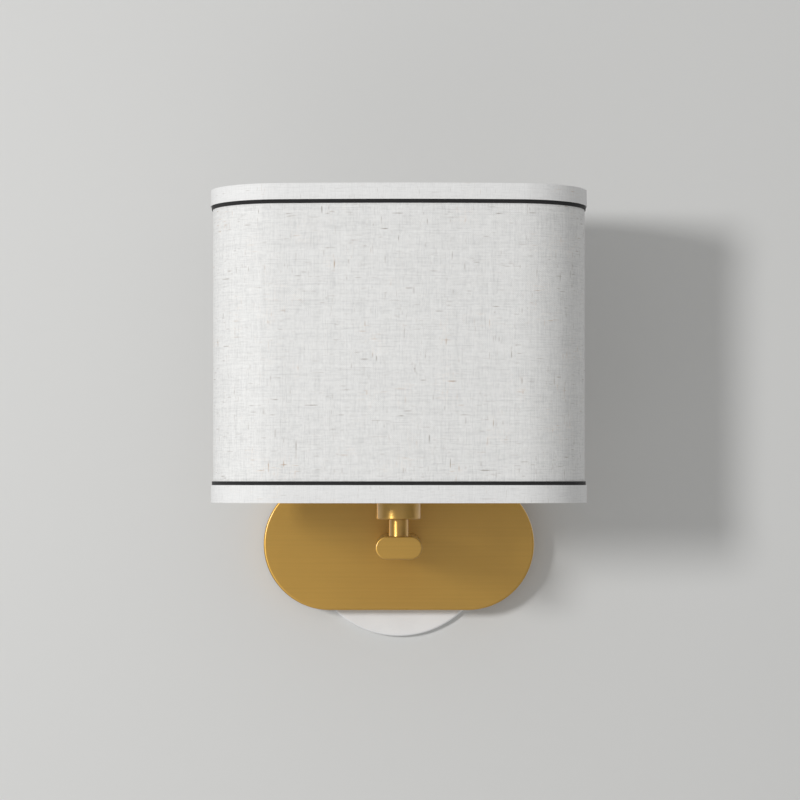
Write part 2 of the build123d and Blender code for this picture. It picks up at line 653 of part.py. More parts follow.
with BuildPart() as holder_core:
    turned(DOME_LEDGE, CORE_SHOULDER, CORE_RADIUS)
    turned(CORE_SHOULDER, CORE_TOP, CORE_TUBE_RADIUS, CORE_TUBE_BORE)
    turned(DOME_LEDGE, SPRING_HOLE_TOP, SPRING_HOLE, mode=Mode.SUBTRACT)
    turned(SPRING_HOLE_TOP, CORE_SHOULDER, PLUNGER_HOLE, mode=Mode.SUBTRACT)
    rivet_hole = lamp_level(DOME_LEDGE).move(Location((RIVET_X, 0, 0)))
    cylinder(rivet_hole, CORE_SHOULDER - DOME_LEDGE, RIVET_RADIUS, mode=Mode.SUBTRACT)
holder_core.part.label = "holder_core"
export_step(holder_core.part, "parts/holder_core.step")

with BuildPart() as screw_shell:
    turned(CORE_SHOULDER, CORE_SHOULDER + SHELL_WALL, SHELL_RADIUS, SHELL_FLOOR_HOLE)
    turned(CORE_SHOULDER, SHELL_TOP, SHELL_RADIUS, SHELL_RADIUS - SHELL_WALL)
screw_shell.part.label = "screw_shell"
export_step(screw_shell.part, "parts/screw_shell.step")

with BuildPart() as line_terminal:
    turned(TERMINAL_BOTTOM, DOME_LEDGE, SPRING_HOLE)
    with BuildSketch(lamp_level(TERMINAL_BOTTOM)):
        with Locations((-CLAMP_X / 2 - CLAMP_SIZE / 4, 0)):
            Rectangle(CLAMP_X + CLAMP_SIZE / 2, CLAMP_SIZE)
    extrude(amount=TERMINAL_THICKNESS)
    with BuildSketch(lamp_level(CLAMP_BOTTOM)):
        with Locations((-CLAMP_X, -WIRE_PAIR_OFFSET)):
            Rectangle(CLAMP_SIZE, CLAMP_SIZE)
    extrude(amount=CLAMP_HEIGHT)
line_terminal.part.label = "line_terminal"
export_step(line_terminal.part, "parts/line_terminal.step")

with BuildPart() as neutral_terminal:
    with BuildSketch(lamp_level(TERMINAL_BOTTOM)):
        with Locations((CLAMP_X, 0)):
            Rectangle(CLAMP_SIZE, CLAMP_SIZE + 2 * WIRE_PAIR_OFFSET)
    extrude(amount=TERMINAL_THICKNESS)
    with BuildSketch(lamp_level(CLAMP_BOTTOM)):
        with Locations((CLAMP_X, WIRE_PAIR_OFFSET)):
            Rectangle(CLAMP_SIZE, CLAMP_SIZE)
    extrude(amount=CLAMP_HEIGHT)
    rivet_plane = lamp_level(DOME_LEDGE).move(Location((RIVET_X, 0, 0)))
    cylinder(rivet_plane, CORE_SHOULDER - DOME_LEDGE, RIVET_RADIUS - PRESSED_PART_GAP)
neutral_terminal.part.label = "neutral_terminal"
export_step(neutral_terminal.part, "parts/neutral_terminal.step")

with BuildPart() as contact_plunger:
    turned(PLUNGER_COLLAR_BOTTOM, PLUNGER_COLLAR_TOP, PLUNGER_COLLAR)
    turned(PLUNGER_COLLAR_TOP, PLUNGER_TOP, PLUNGER_RADIUS)
    chamfer(contact_plunger.edges().group_by(Axis.Z)[-1], length=PLUNGER_CHAMFER)
contact_plunger.part.label = "contact_plunger"
export_step(contact_plunger.part, "parts/contact_plunger.step")

# The spring stands on the line terminal and carries the plunger's collar.
spring_low = DOME_LEDGE + SPRING_WIRE
spring_high = PLUNGER_COLLAR_BOTTOM - SPRING_WIRE
spring_length = spring_high - spring_low
with BuildPart() as plunger_spring:
    with BuildLine(lamp_level(spring_low)) as coil:
        Helix(spring_length / SPRING_TURNS, spring_length, SPRING_RADIUS)
    with BuildSketch(Plane(origin=coil.line @ 0, z_dir=coil.line % 0)):
        Circle(SPRING_WIRE)
    sweep(path=coil.line, is_frenet=True)
plunger_spring.part.label = "plunger_spring"
export_step(plunger_spring.part, "parts/plunger_spring.step")

with BuildPart() as holder_barrel:
    turned(DOME_TOP, CUP_TOP, DOME_RADIUS, BARREL_BORE)
    turned(CUP_TOP, FLANGE_TOP, FLANGE_RADIUS, BARREL_BORE)
    turned(FLANGE_TOP, CORE_TOP, BARREL_RADIUS, BARREL_BORE)
    turned(CORE_TOP, BARREL_TOP, BARREL_RADIUS, BARREL_LIP)
    turned(DOME_TOP, CORE_SHOULDER, DOME_SOCKET, mode=Mode.SUBTRACT)
    with BuildSketch(LATHE):
        for turn in range(THREAD_TURNS):
            root = THREAD_START + turn * THREAD_PITCH
            with BuildLine():
                Polyline(
                    (BARREL_RADIUS, root - THREAD_PITCH / 3),
                    (BARREL_RADIUS - THREAD_DEPTH, root),
                    (BARREL_RADIUS, root + THREAD_PITCH / 3),
                    close=True,
                )
            make_face()
    revolve(axis=LAMP_AXIS, mode=Mode.SUBTRACT)
holder_barrel.part.label = "holder_barrel"
export_step(holder_barrel.part, "parts/holder_barrel.step")

ring_bottom = FLANGE_TOP + HUB_THICKNESS
with BuildPart() as shade_ring:
    with BuildSketch(lamp_level(ring_bottom)):
        Circle(RING_RADIUS)
        Circle(RING_BORE, mode=Mode.SUBTRACT)
        with PolarLocations(RING_RADIUS + RING_GRIP_RADIUS / 2, RING_GRIPS):
            Circle(RING_GRIP_RADIUS, mode=Mode.SUBTRACT)
    extrude(amount=RING_HEIGHT)
shade_ring.part.label = "shade_ring"
export_step(shade_ring.part, "parts/shade_ring.step")

# ---------------------------------------------------------------- wires
block_wire_x = BLOCK_LEFT + BLOCK_WIRE_ENTRY


def lamp_wire(pole_z, pair_offset, arm_z, clamp_x, stem_bend):
    """A wire from the terminal block through the arm and stem to a lampholder clamp."""
    stem_y = -AXIS_DEPTH + pair_offset
    points = [
        (block_wire_x, -BLOCK_WIRE_DEPTH, pole_z),
        (block_wire_x - BLOCK_LEAD, -BLOCK_WIRE_DEPTH, pole_z),
        (0, -BLOCK_WIRE_DEPTH, pair_offset),
        (0, -ARM_DROP_START, pair_offset),
        (0, -ARM_DROP_END, arm_z),
        (0, stem_y, arm_z),
        (0, stem_y, WIRE_FAN_START),
        (clamp_x, stem_y, WIRE_FAN_END),
        (clamp_x, stem_y, CLAMP_BOTTOM),
    ]
    bends = [BLOCK_LEAD_BEND, NIPPLE_BEND, ARM_DROP_BEND, ARM_DROP_BEND, stem_bend]
    bends += [WIRE_FAN_BEND, WIRE_FAN_BEND]
    return bent_rod(points, bends, WIRE_RADIUS)


with BuildPart() as line_wire:
    add(lamp_wire(-BLOCK_POLE_Z, -WIRE_PAIR_OFFSET, LINE_WIRE_ARM_Z, -CLAMP_X, LINE_STEM_BEND))
line_wire.part.label = "line_wire"
export_step(line_wire.part, "parts/line_wire.step")

with BuildPart() as neutral_wire:
    add(lamp_wire(BLOCK_POLE_Z, WIRE_PAIR_OFFSET, NEUTRAL_WIRE_ARM_Z, CLAMP_X, NEUTRAL_STEM_BEND))
neutral_wire.part.label = "neutral_wire"
export_step(neutral_wire.part, "parts/neutral_wire.step")

# The ground wire loops over the cable hole, from one ring terminal to the other.
plate_lug_top = LUG_RADIUS + LUG_TONGUE + LUG_BARREL_LENGTH
bar_lug_top = GROUND_LUG_RADIUS + LUG_TONGUE + LUG_BARREL_LENGTH
ground_points = [
    (0, -plate_lug_depth, plate_lug_top - LUG_WIRE_DEPTH),
    (0, -plate_lug_depth, GROUND_PLATE_RISE),
    (GROUND_SCREW_X / 2, -(plate_lug_depth + bar_lug_depth) / 2, GROUND_LOOP_TOP),
    (GROUND_SCREW_X, -bar_lug_depth, GROUND_BAR_RISE),
    (GROUND_SCREW_X, -bar_lug_depth, bar_lug_top - LUG_WIRE_DEPTH),
]
ground_bends = [GROUND_SIDE_BEND, GROUND_TOP_BEND, GROUND_SIDE_BEND]
with BuildPart() as ground_wire:
    add(bent_rod(ground_points, ground_bends, WIRE_RADIUS))
ground_wire.part.label = "ground_wire"
export_step(ground_wire.part, "parts/ground_wire.step")

# ---------------------------------------------------------------- lamp
with BuildPart() as lamp_tip:
    turned(TIP_BOTTOM, TIP_BOTTOM + TIP_HEIGHT, TIP_RADIUS)
    fillet(lamp_tip.edges().group_by(Axis.Z)[0], radius=TIP_ROUND)
lamp_tip.part.label = "lamp_tip"
export_step(lamp_tip.part, "parts/lamp_tip.step")

with BuildPart() as lamp_insulator:
    with BuildSketch(LATHE):
        with BuildLine():
            Polyline(
                (TIP_RADIUS, INSULATOR_BOTTOM),
                (INSULATOR_SMALL_RADIUS, INSULATOR_BOTTOM),
                (CAP_RADIUS - CAP_WALL, CAP_BOTTOM),
                (TIP_RADIUS, CAP_BOTTOM),
                close=True,
            )
        make_face()
    revolve(axis=LAMP_AXIS)
lamp_insulator.part.label = "lamp_insulator"
export_step(lamp_insulator.part, "parts/lamp_insulator.step")

with BuildPart() as lamp_cap:
    turned(CAP_BOTTOM, CAP_TOP, CAP_RADIUS, CAP_RADIUS - CAP_WALL)
    turned(CAP_BOTTOM, CAP_BOTTOM + CAP_WALL, CAP_RADIUS, TIP_RADIUS)
    with BuildSketch(LATHE):
        for turn in range(CAP_THREAD_TURNS):
            root = CAP_THREAD_START + turn * CAP_PITCH
            with BuildLine():
                Polyline(
                    (CAP_RADIUS, root - CAP_PITCH / 3),
                    (CAP_RADIUS - CAP_THREAD_DEPTH, root),
                    (CAP_RADIUS, root + CAP_PITCH / 3),
                    close=True,
                )
            make_face()
    revolve(axis=LAMP_AXIS, mode=Mode.SUBTRACT)
lamp_cap.part.label = "lamp_cap"
export_step(lamp_cap.part, "parts/lamp_cap.step")


def glass_section(inset):
    """Half section of the lamp's glass, or of the space inside it, out to its axis."""
    with BuildSketch(LATHE) as half:
        with BuildLine():
            neck = Line(
                (GLASS_NECK_RADIUS - inset, GLASS_NECK_BOTTOM),
                (GLASS_NECK_RADIUS - inset, CAP_TOP),
            )
            swell = Spline(
                neck @ 1,
                (GLASS_SHOULDER_RADIUS - inset, GLASS_SHOULDER_Z),
                (GLASS_RADIUS - inset, GLASS_WIDEST_Z),
                (GLASS_TAPER_RADIUS - inset, GLASS_TAPER_Z),
                (0, GLASS_TOP - inset),
                tangents=[(0, 1), (-1, 0)],
            )
            Polyline(swell @ 1, (0, GLASS_NECK_BOTTOM), neck @ 0)
        make_face()
    return half.sketch


with BuildPart() as lamp_glass:
    revolve(glass_section(0), axis=LAMP_AXIS)
    revolve(glass_section(GLASS_WALL), axis=LAMP_AXIS, mode=Mode.SUBTRACT)
lamp_glass.part.label = "lamp_glass"
export_step(lamp_glass.part, "parts/lamp_glass.step")

with BuildPart() as lamp_pillar:
    turned(GLASS_NECK_BOTTOM, PILLAR_FOOT_TOP, PILLAR_FOOT_RADIUS)
    turned(PILLAR_FOOT_TOP, PILLAR_TOP, PILLAR_RADIUS)
    fillet(lamp_pillar.edges().group_by(Axis.Z)[-1], radius=PILLAR_ROUND)
lamp_pillar.part.label = "lamp_pillar"
export_step(lamp_pillar.part, "parts/lamp_pillar.step")

with BuildPart() as lamp_filaments:
    with BuildSketch(lamp_level(FILAMENT_BOTTOM)):
        with PolarLocations(FILAMENT_CIRCLE, FILAMENT_COUNT):
            Circle(FILAMENT_RADIUS)
    extrude(amount=FILAMENT_TOP - FILAMENT_BOTTOM)
lamp_filaments.part.label = "lamp_filaments"
export_step(lamp_filaments.part, "parts/lamp_filaments.step")

# Lead strips carry the filaments: a cross at the foot and another at the top, on one mast.
lead_span = 2 * (FILAMENT_CIRCLE + FILAMENT_RADIUS)
with BuildPart() as lamp_leads:
    turned(PILLAR_TOP, FILAMENT_TOP, LEAD_RADIUS)
    for height in (FILAMENT_BOTTOM - 2 * LEAD_RADIUS, FILAMENT_TOP):
        with BuildSketch(lamp_level(height)):
            Rectangle(lead_span, 2 * LEAD_RADIUS)
            Rectangle(2 * LEAD_RADIUS, lead_span)
        extrude(amount=2 * LEAD_RADIUS)
lamp_leads.part.label = "lamp_leads"
export_step(lamp_leads.part, "parts/lamp_leads.step")

# ---------------------------------------------------------------- shade
cloth_low = SHADE_BOTTOM + TAPE
cloth_high = SHADE_TOP - TAPE
with BuildPart() as shade_linen:
    shade_wall(cloth_low, cloth_high, 0, -CLOTH)
shade_linen.part.label = "shade_linen"
export_step(shade_linen.part, "parts/shade_linen.step")

with BuildPart() as shade_liner:
    shade_wall(cloth_low, cloth_high, -CLOTH, -SHADE_INSIDE)
shade_liner.part.label = "shade_liner"
export_step(shade_liner.part, "parts/shade_liner.step")


def wire_ring(height):
    """A wire ring that fits just inside the shade, with its wire centred at a height."""
    with BuildPart() as ring:
        with BuildLine(lamp_level(height)) as path:
            shade_outline(-RING_INSET)
        loop = path.wires()[0]
        with BuildSketch(Plane(origin=loop @ 0, z_dir=loop % 0)):
            Circle(RING_WIRE)
        sweep(path=loop)
    return ring.part


bottom_wire_z = cloth_low + RING_WIRE
top_wire_z = cloth_high - RING_WIRE
with BuildPart() as bottom_wire_ring:
    add(wire_ring(bottom_wire_z))
bottom_wire_ring.part.label = "bottom_wire_ring"
export_step(bottom_wire_ring.part, "parts/bottom_wire_ring.step")

with BuildPart() as top_wire_ring:
    add(wire_ring(top_wire_z))
top_wire_ring.part.label = "top_wire_ring"
export_step(top_wire_ring.part, "parts/top_wire_ring.step")

# The fitter: a flat hub on the lampholder's flange, with four arms down to the bottom ring.
arm_wire_z = FLANGE_TOP - ARM_WIRE + ARM_WIRE_SINK
side_reach = SHADE_WIDTH / 2 - RING_INSET
front_reach = SHADE_DEPTH / 2 - RING_INSET
long_arm = [
    (ARM_WIRE_START, arm_wire_z),
    (LONG_ARM_FLAT, arm_wire_z),
    (side_reach - LONG_ARM_TOE, bottom_wire_z + LONG_ARM_TOE_RISE),
    (side_reach, bottom_wire_z),
]
short_arm = [
    (ARM_WIRE_START, arm_wire_z),
    (SHORT_ARM_FLAT, arm_wire_z),
    (front_reach - SHORT_ARM_TOE, bottom_wire_z + SHORT_ARM_TOE_RISE),
    (front_reach, bottom_wire_z),
]
with BuildPart() as shade_fitter:
    turned(FLANGE_TOP, ring_bottom, HUB_RADIUS, HUB_BORE)
    for side in (-1, 1):
        long_points = [(side * reach, -AXIS_DEPTH, z) for reach, z in long_arm]
        short_points = [(0, side * reach - AXIS_DEPTH, z) for reach, z in short_arm]
        add(bent_rod(long_points, [LONG_ARM_BEND, LONG_ARM_BEND], ARM_WIRE))
        add(bent_rod(short_points, [SHORT_ARM_BEND, SHORT_ARM_BEND], ARM_WIRE))
shade_fitter.part.label = "shade_fitter"
export_step(shade_fitter.part, "parts/shade_fitter.step")

with BuildPart() as bottom_black_tape:
    shade_wall(cloth_low, SHADE_BOTTOM + BOTTOM_BLACK_END, TAPE, 0)
bottom_black_tape.part.label = "bottom_black_tape"
export_step(bottom_black_tape.part, "parts/bottom_black_tape.step")

with BuildPart() as top_black_tape:
    shade_wall(SHADE_TOP - TOP_BLACK_END, cloth_high, TAPE, 0)
top_black_tape.part.label = "top_black_tape"
export_step(top_black_tape.part, "parts/top_black_tape.step")

# The white tape covers most of the black one outside, folds over the rim and the wire ring, and
# is stuck to the liner inside. At the bottom it is notched round the fitter's arms.
with BuildPart() as bottom_white_tape:
    shade_wall(cloth_low, SHADE_BOTTOM + BOTTOM_WHITE_WIDTH, WHITE_TAPE_OUT, TAPE)
    shade_wall(SHADE_BOTTOM, cloth_low, WHITE_TAPE_OUT, -TAPE_INSIDE)
    shade_wall(cloth_low, cloth_low + 2 * RING_WIRE, TAPE - TAPE_INSIDE, -TAPE_INSIDE)
    fold = cloth_low + 2 * RING_WIRE
    shade_wall(fold, fold + TAPE, -SHADE_INSIDE, -TAPE_INSIDE)
    shade_wall(fold + TAPE, SHADE_BOTTOM + TAPE_TURN_IN, -SHADE_INSIDE, -SHADE_INSIDE - TAPE)
    notch_length = SHADE_WIDTH - 2 * SHADE_INSIDE
    notch_depth = SHADE_DEPTH - 2 * SHADE_INSIDE
    with BuildSketch(lamp_level(cloth_low)):
        Rectangle(notch_length, ARM_NOTCH)
        Rectangle(ARM_NOTCH, notch_depth)
    extrude(amount=TAPE_TURN_IN, mode=Mode.SUBTRACT)
bottom_white_tape.part.label = "bottom_white_tape"
export_step(bottom_white_tape.part, "parts/bottom_white_tape.step")

with BuildPart() as top_white_tape:
    shade_wall(SHADE_TOP - TOP_WHITE_WIDTH, cloth_high, WHITE_TAPE_OUT, TAPE)
    shade_wall(cloth_high, SHADE_TOP, WHITE_TAPE_OUT, -TAPE_INSIDE)
    shade_wall(cloth_high - 2 * RING_WIRE, cloth_high, TAPE - TAPE_INSIDE, -TAPE_INSIDE)
    fold = cloth_high - 2 * RING_WIRE
    shade_wall(fold - TAPE, fold, -SHADE_INSIDE, -TAPE_INSIDE)
    shade_wall(SHADE_TOP - TAPE_TURN_IN, fold - TAPE, -SHADE_INSIDE, -SHADE_INSIDE - TAPE)
top_white_tape.part.label = "top_white_tape"
export_step(top_white_tape.part, "parts/top_white_tape.step")
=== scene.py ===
import math

import bmesh
import bpy
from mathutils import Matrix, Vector


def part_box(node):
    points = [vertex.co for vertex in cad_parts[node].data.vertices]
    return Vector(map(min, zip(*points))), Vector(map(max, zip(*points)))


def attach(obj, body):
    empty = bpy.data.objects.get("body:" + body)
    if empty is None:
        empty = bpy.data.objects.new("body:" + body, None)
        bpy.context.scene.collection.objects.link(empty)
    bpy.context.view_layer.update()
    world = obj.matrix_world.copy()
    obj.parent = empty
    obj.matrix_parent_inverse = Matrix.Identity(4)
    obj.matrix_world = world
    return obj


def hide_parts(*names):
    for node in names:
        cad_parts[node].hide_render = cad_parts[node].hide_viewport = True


bl_info = {
    "name": "Fabric Shade Wall Light",
    "version": (1, 0, 0),
    "blender": (4, 5, 0),
    "location": "View3D > Sidebar > Wall Light",
    "description": "Dresses a brass wall light: linen shade, tape trims, brushed brass and the lamp",
    "category": "Add Mesh",
}

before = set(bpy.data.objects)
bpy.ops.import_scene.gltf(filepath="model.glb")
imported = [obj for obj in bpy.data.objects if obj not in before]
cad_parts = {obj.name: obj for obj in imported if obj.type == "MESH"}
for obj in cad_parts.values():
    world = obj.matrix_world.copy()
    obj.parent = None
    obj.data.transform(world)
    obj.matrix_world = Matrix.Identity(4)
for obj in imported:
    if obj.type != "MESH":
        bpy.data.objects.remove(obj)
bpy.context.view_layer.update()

MM = 0.001
LINEN_LOW, LINEN_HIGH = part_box("shade_linen")
TOP_TAPE_LOW, TOP_TAPE_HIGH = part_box("top_white_tape")
BOTTOM_TAPE_LOW, BOTTOM_TAPE_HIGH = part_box("bottom_white_tape")
TOP_LINE_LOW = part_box("top_black_tape")[0]
BOTTOM_LINE_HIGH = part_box("bottom_black_tape")[1]
LINER_FACE = LINEN_HIGH.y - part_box("shade_liner")[1].y

AXIS_Y = (LINEN_LOW.y + LINEN_HIGH.y) / 2
SHADE_WIDTH = LINEN_HIGH.x - LINEN_LOW.x
SHADE_DEPTH = LINEN_HIGH.y - LINEN_LOW.y
CORNER_STEPS = 30
BOW_STEPS = 60

# The liner's thickness, how far a black tape runs on under the white one, and how near an edge
# lies to a level to count as on it.
LINER = 0.6 * MM
TAPE_LAP = 2 * MM
ON_LEVEL = 0.01 * MM
GENTLE_EDGE = math.radians(35)

# The room: its planes, the key light's lamp, and how bright each side shows in metal and glass.
STAGE_SIZE = 14
FLOOR_LEVEL = -1.1
WALL_GAP = 0.4 * MM
KEY_DISTANCE = 2.4
KEY_WIDTH = 0.36
KEY_HEIGHT = 0.50
SHINE_AHEAD = 0.60
SHINE_BEHIND = 0.8
DIMMER_RIGHT = 0.34
DIMMER_LEFT = 0.18
BACKGROUND = 0.82


# ---------------------------------------------------------------- settings
def length(name, description, default):
    """A length that a user can change, in metres."""
    return bpy.props.FloatProperty(
        name=name, description=description, default=default, unit="LENGTH", precision=5
    )


def share(name, description, default):
    """A share from 0 to 1 that a user can change."""
    return bpy.props.FloatProperty(
        name=name, description=description, default=default, min=0, max=1, subtype="FACTOR"
    )


def colour(name, description, default):
    """A colour that a user can change, as linear red, green and blue."""
    return bpy.props.FloatVectorProperty(
        name=name, description=description, default=default, size=3, min=0, max=1, subtype="COLOR"
    )


class ShadeSettings(bpy.types.PropertyGroup):
    """Sizes and colours of the shade's cloth and tapes."""

    corner: length("Corner radius", "Radius of the cloth's upright corners", 48 * MM)
    bow: length("Bow radius", "Radius of the slightly bowed front and back", 1.0)
    cloth: length("Cloth thickness", "Thickness of the linen", 0.8 * MM)
    tape: length("Tape thickness", "Thickness of one layer of tape", 0.7 * MM)
    turn_in: length("Tape turn-in", "How far the white tape reaches down inside", 9 * MM)
    rim_wire: length("Rim wire", "Thickness of the wire ring inside the rim", 3 * MM)
    notch: length("Arm notch", "Width of the notch in the tape at each fitter arm", 6 * MM)
    seam: length("Seam overlap", "Width of the linen's overlap at the back", 9 * MM)
    pitch: length("Thread pitch", "Distance from one linen thread to the next", 0.6 * MM)
    linen_colour: colour("Linen", "Colour of the linen's threads", (0.80, 0.80, 0.79))
    slub_colour: colour("Slubs", "Colour of the thick threads and flecks", (0.36, 0.33, 0.30))
    tape_colour: colour("White tape", "Colour of the white tape", (0.80, 0.80, 0.795))
    line_colour: colour("Black tape", "Colour of the black edge line", (0.015, 0.0145, 0.015))
    liner_colour: colour("Liner", "Colour of the stiff liner", (0.86, 0.85, 0.82))


class MetalSettings(bpy.types.PropertyGroup):
    """Colours and finish of the metal parts."""

    brass_colour: colour("Brass", "Colour of the satin brass", (0.620, 0.365, 0.076))
    brass_roughness: share("Brass roughness", "Roughness between the brush lines", 0.47)
    brush: share("Brush lines", "How strongly the brush lines show", 0.35)
    zinc_colour: colour("Zinc", "Colour of the plated steel", (0.55, 0.56, 0.57))
    nickel_colour: colour("Nickel", "Colour of the lamp's cap", (0.66, 0.64, 0.61))
    paint_colour: colour("White paint", "Colour of the cover disc", (0.80, 0.80, 0.80))


class LampSettings(bpy.types.PropertyGroup):
    """Colours of the lamp and of the lampholder's insulation."""

    glass_tint: colour("Glass", "Tint of the clear glass", (0.97, 0.98, 0.98))
    coat_colour: colour("Filament coat", "Colour of the filaments' coat", (0.86, 0.50, 0.10))
    holder_colour: colour("Holder", "Colour of the lampholder's moulding", (0.028, 0.026, 0.025))
    block_colour: colour("Terminal block", "Colour of the moulded block", (0.72, 0.70, 0.63))


class StageSettings(bpy.types.PropertyGroup):
    """The camera, the lights and the plain room round the light."""

    distance: length("Camera distance", "From the wall to the camera", 1.814)
    eye_height: length("Camera height", "Above the backplate's middle", 0.0435)
    lens: bpy.props.FloatProperty(
        name="Lens", description="Focal length on a 36 mm sensor", default=118.8
    )
    slide: bpy.props.FloatProperty(
        name="Slide", description="How far the view is shifted right, in frame widths", default=0.0015
    )
    rise: bpy.props.FloatProperty(
        name="Rise", description="How far the view is shifted up, in frame widths", default=0.1
    )
    key_power: bpy.props.FloatProperty(
        name="Key light", description="Power of the light from the left", default=32, unit="POWER"
    )
    key_turn: bpy.props.FloatProperty(
        name="Key turn",
        description="How far to the left of the camera the key light stands",
        default=math.radians(38.6),
        subtype="ANGLE",
    )
    key_rise: bpy.props.FloatProperty(
        name="Key rise",
        description="How far above the level the key light stands",
        default=math.radians(10),
        subtype="ANGLE",
    )
    room_light: share("Room light", "Strength of the even light from all round", 0.50)
    wall_colour: colour("Backdrop", "Colour of the plain backdrop", (0.66, 0.66, 0.65))
    floor_colour: colour("Floor", "Colour of the plain floor", (0.70, 0.70, 0.69))


# ---------------------------------------------------------------- modelling steps
def leave_all():
    """Go back to object mode with nothing selected."""
    if bpy.context.object and bpy.context.object.mode != "OBJECT":
        bpy.ops.object.mode_set(mode="OBJECT")
    bpy.ops.object.select_all(action="DESELECT")


def choose(piece, faces=None, edges=None):
    """In edit mode, select only the faces or the edges that pass a test."""
    bpy.context.tool_settings.mesh_select_mode = (False, edges is not None, faces is not None)
    bpy.ops.mesh.select_all(action="DESELECT")
    mesh = bmesh.from_edit_mesh(piece.data)
    mesh.normal_update()
    for item in mesh.faces if faces else mesh.edges:
        item.select_set((faces or edges)(item))
    mesh.select_flush_mode()
    bmesh.update_edit_mesh(piece.data)


def middle(edge):
    """The middle point of an edge."""
    return (edge.verts[0].co + edge.verts[1].co) / 2


def upright(edge):
    """Whether an edge stands upright."""
    return abs(edge.verts[0].co.z - edge.verts[1].co.z) > 0.5 * edge.calc_length()


def finish_with(piece, kind, **values):
    """Add a modifier to a piece and apply it."""
    modifier = piece.modifiers.new(kind, kind)
    for name, value in values.items():
        setattr(modifier, name, value)
    bpy.ops.object.modifier_apply(modifier=modifier.name)


def shade_plan():
    """Centres of the corner and of the bowed front, half the flat side, and the bow's half angle."""
    shade = bpy.context.scene.shade_settings
    corner_x = SHADE_WIDTH / 2 - shade.corner
    bow_y = SHADE_DEPTH / 2 - shade.bow
    corner_y = bow_y + math.sqrt((shade.bow - shade.corner) ** 2 - corner_x**2)
    return corner_x, corner_y, bow_y, math.asin(corner_x / (shade.bow - shade.corner))


def shade_tube(name, low, high, grow):
    """An open tube in the shade's plan shape, grow outside the cloth's face, left in edit mode."""
    leave_all()
    corner_x, corner_y, bow_y, bow_turn = shade_plan()
    bpy.ops.mesh.primitive_plane_add(
        size=1,
        location=(SHADE_WIDTH / 2 + grow, AXIS_Y, (low + high) / 2),
        rotation=(0, math.pi / 2, 0),
    )
    tube = bpy.context.object
    tube.scale = (high - low, 2 * corner_y, 1)
    tube.name = name
    tube.data.name = name
    bpy.ops.object.transform_apply(location=True, rotation=True, scale=True)
    bpy.ops.object.mode_set(mode="EDIT")
    choose(tube, edges=lambda edge: upright(edge) and middle(edge).y > AXIS_Y)
    corner_turn = math.pi / 2 - bow_turn
    sweep_edge((corner_x, corner_y), corner_turn, CORNER_STEPS)
    sweep_edge((0, bow_y), 2 * bow_turn, BOW_STEPS)
    sweep_edge((-corner_x, corner_y), corner_turn, CORNER_STEPS)
    bpy.ops.mesh.extrude_edges_move(TRANSFORM_OT_translate={"value": (0, -2 * corner_y, 0)})
    sweep_edge((-corner_x, -corner_y), corner_turn, CORNER_STEPS)
    sweep_edge((0, -bow_y), 2 * bow_turn, BOW_STEPS)
    sweep_edge((corner_x, -corner_y), corner_turn, CORNER_STEPS)
    bpy.ops.mesh.select_all(action="SELECT")
    bpy.ops.mesh.remove_doubles(threshold=1e-5)
    bpy.ops.mesh.normals_make_consistent(inside=False)
    return tube


def sweep_edge(centre, turn, steps):
    """Sweep the selected upright edge about an upright line through a centre in the shade's plan."""
    bpy.ops.mesh.spin(
        steps=steps, angle=-turn, center=(centre[0], centre[1] + AXIS_Y, 0), axis=(0, 0, 1)
    )


def cut_across(tube, point, normal):
    """Cut new edges into all of a tube's faces along a plane."""
    bpy.ops.mesh.select_all(action="SELECT")
    bpy.ops.mesh.bisect(plane_co=point, plane_no=normal)


def around(x, y):
    """How far a point lies round the shade from the back's middle, and how far inside its face."""
    shade = bpy.context.scene.shade_settings
    corner_x, corner_y, bow_y, bow_turn = shade_plan()
    bow_length = shade.bow * bow_turn
    corner_length = shade.corner * (math.pi / 2 - bow_turn)
    x, deep = abs(x), abs(y - AXIS_Y)
    if math.atan2(x, deep - bow_y) < bow_turn:
        along = shade.bow * math.atan2(x, deep - bow_y)
        inside = shade.bow - math.hypot(x, deep - bow_y)
    elif deep > corner_y:
        turn = math.atan2(x - corner_x, deep - corner_y) - bow_turn
        along = bow_length + shade.corner * turn
        inside = shade.corner - math.hypot(x - corner_x, deep - corner_y)
    else:
        along = bow_length + corner_length + corner_y - deep
        inside = SHADE_WIDTH / 2 - x
    if y < AXIS_Y:
        along = 2 * (bow_length + corner_length + corner_y) - along
    return along, inside


def shade_girth():
    """The length once round the shade's cloth."""
    return 2 * around(0, LINEN_LOW.y)[0]


def lay_threads(piece, fold=0):
    """A UV map in metres: round the shade, and up it. Fold carries it over a rim, up or down."""
    mesh = piece.data
    while mesh.uv_layers:
        mesh.uv_layers.remove(mesh.uv_layers[0])
    threads = mesh.uv_layers.new(name="threads")
    girth = shade_girth()
    for face in mesh.polygons:
        for loop in face.loop_indices:
            point = mesh.vertices[mesh.loops[loop].vertex_index].co
            along, inside = around(point.x, point.y)
            if face.center.x < 0:
                along = girth - along
            threads.data[loop].uv = (along, point.z + fold * inside)


def smooth(piece):
    """Shade a piece smooth across its gentle edges."""
    leave_all()
    piece.select_set(True)
    bpy.context.view_layer.objects.active = piece
    bpy.ops.object.shade_smooth_by_angle(angle=GENTLE_EDGE)


def hand_over(piece, body, slot, finish, *nodes):
    """Give a new piece its finish, hang it on the body it rides on, and hide the CAD nodes it stands
    for.
    """
    piece.data.materials.clear()
    piece.data.materials.append(finish)
    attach(piece, body)
    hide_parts(*nodes)


# ---------------------------------------------------------------- finishes
def new_finish(name):
    """An empty finish: its node tree and its shader."""
    material = bpy.data.materials.get(name) or bpy.data.materials.new(name)
    material.use_nodes = True
    return material, material.node_tree, material.node_tree.nodes["Principled BSDF"]


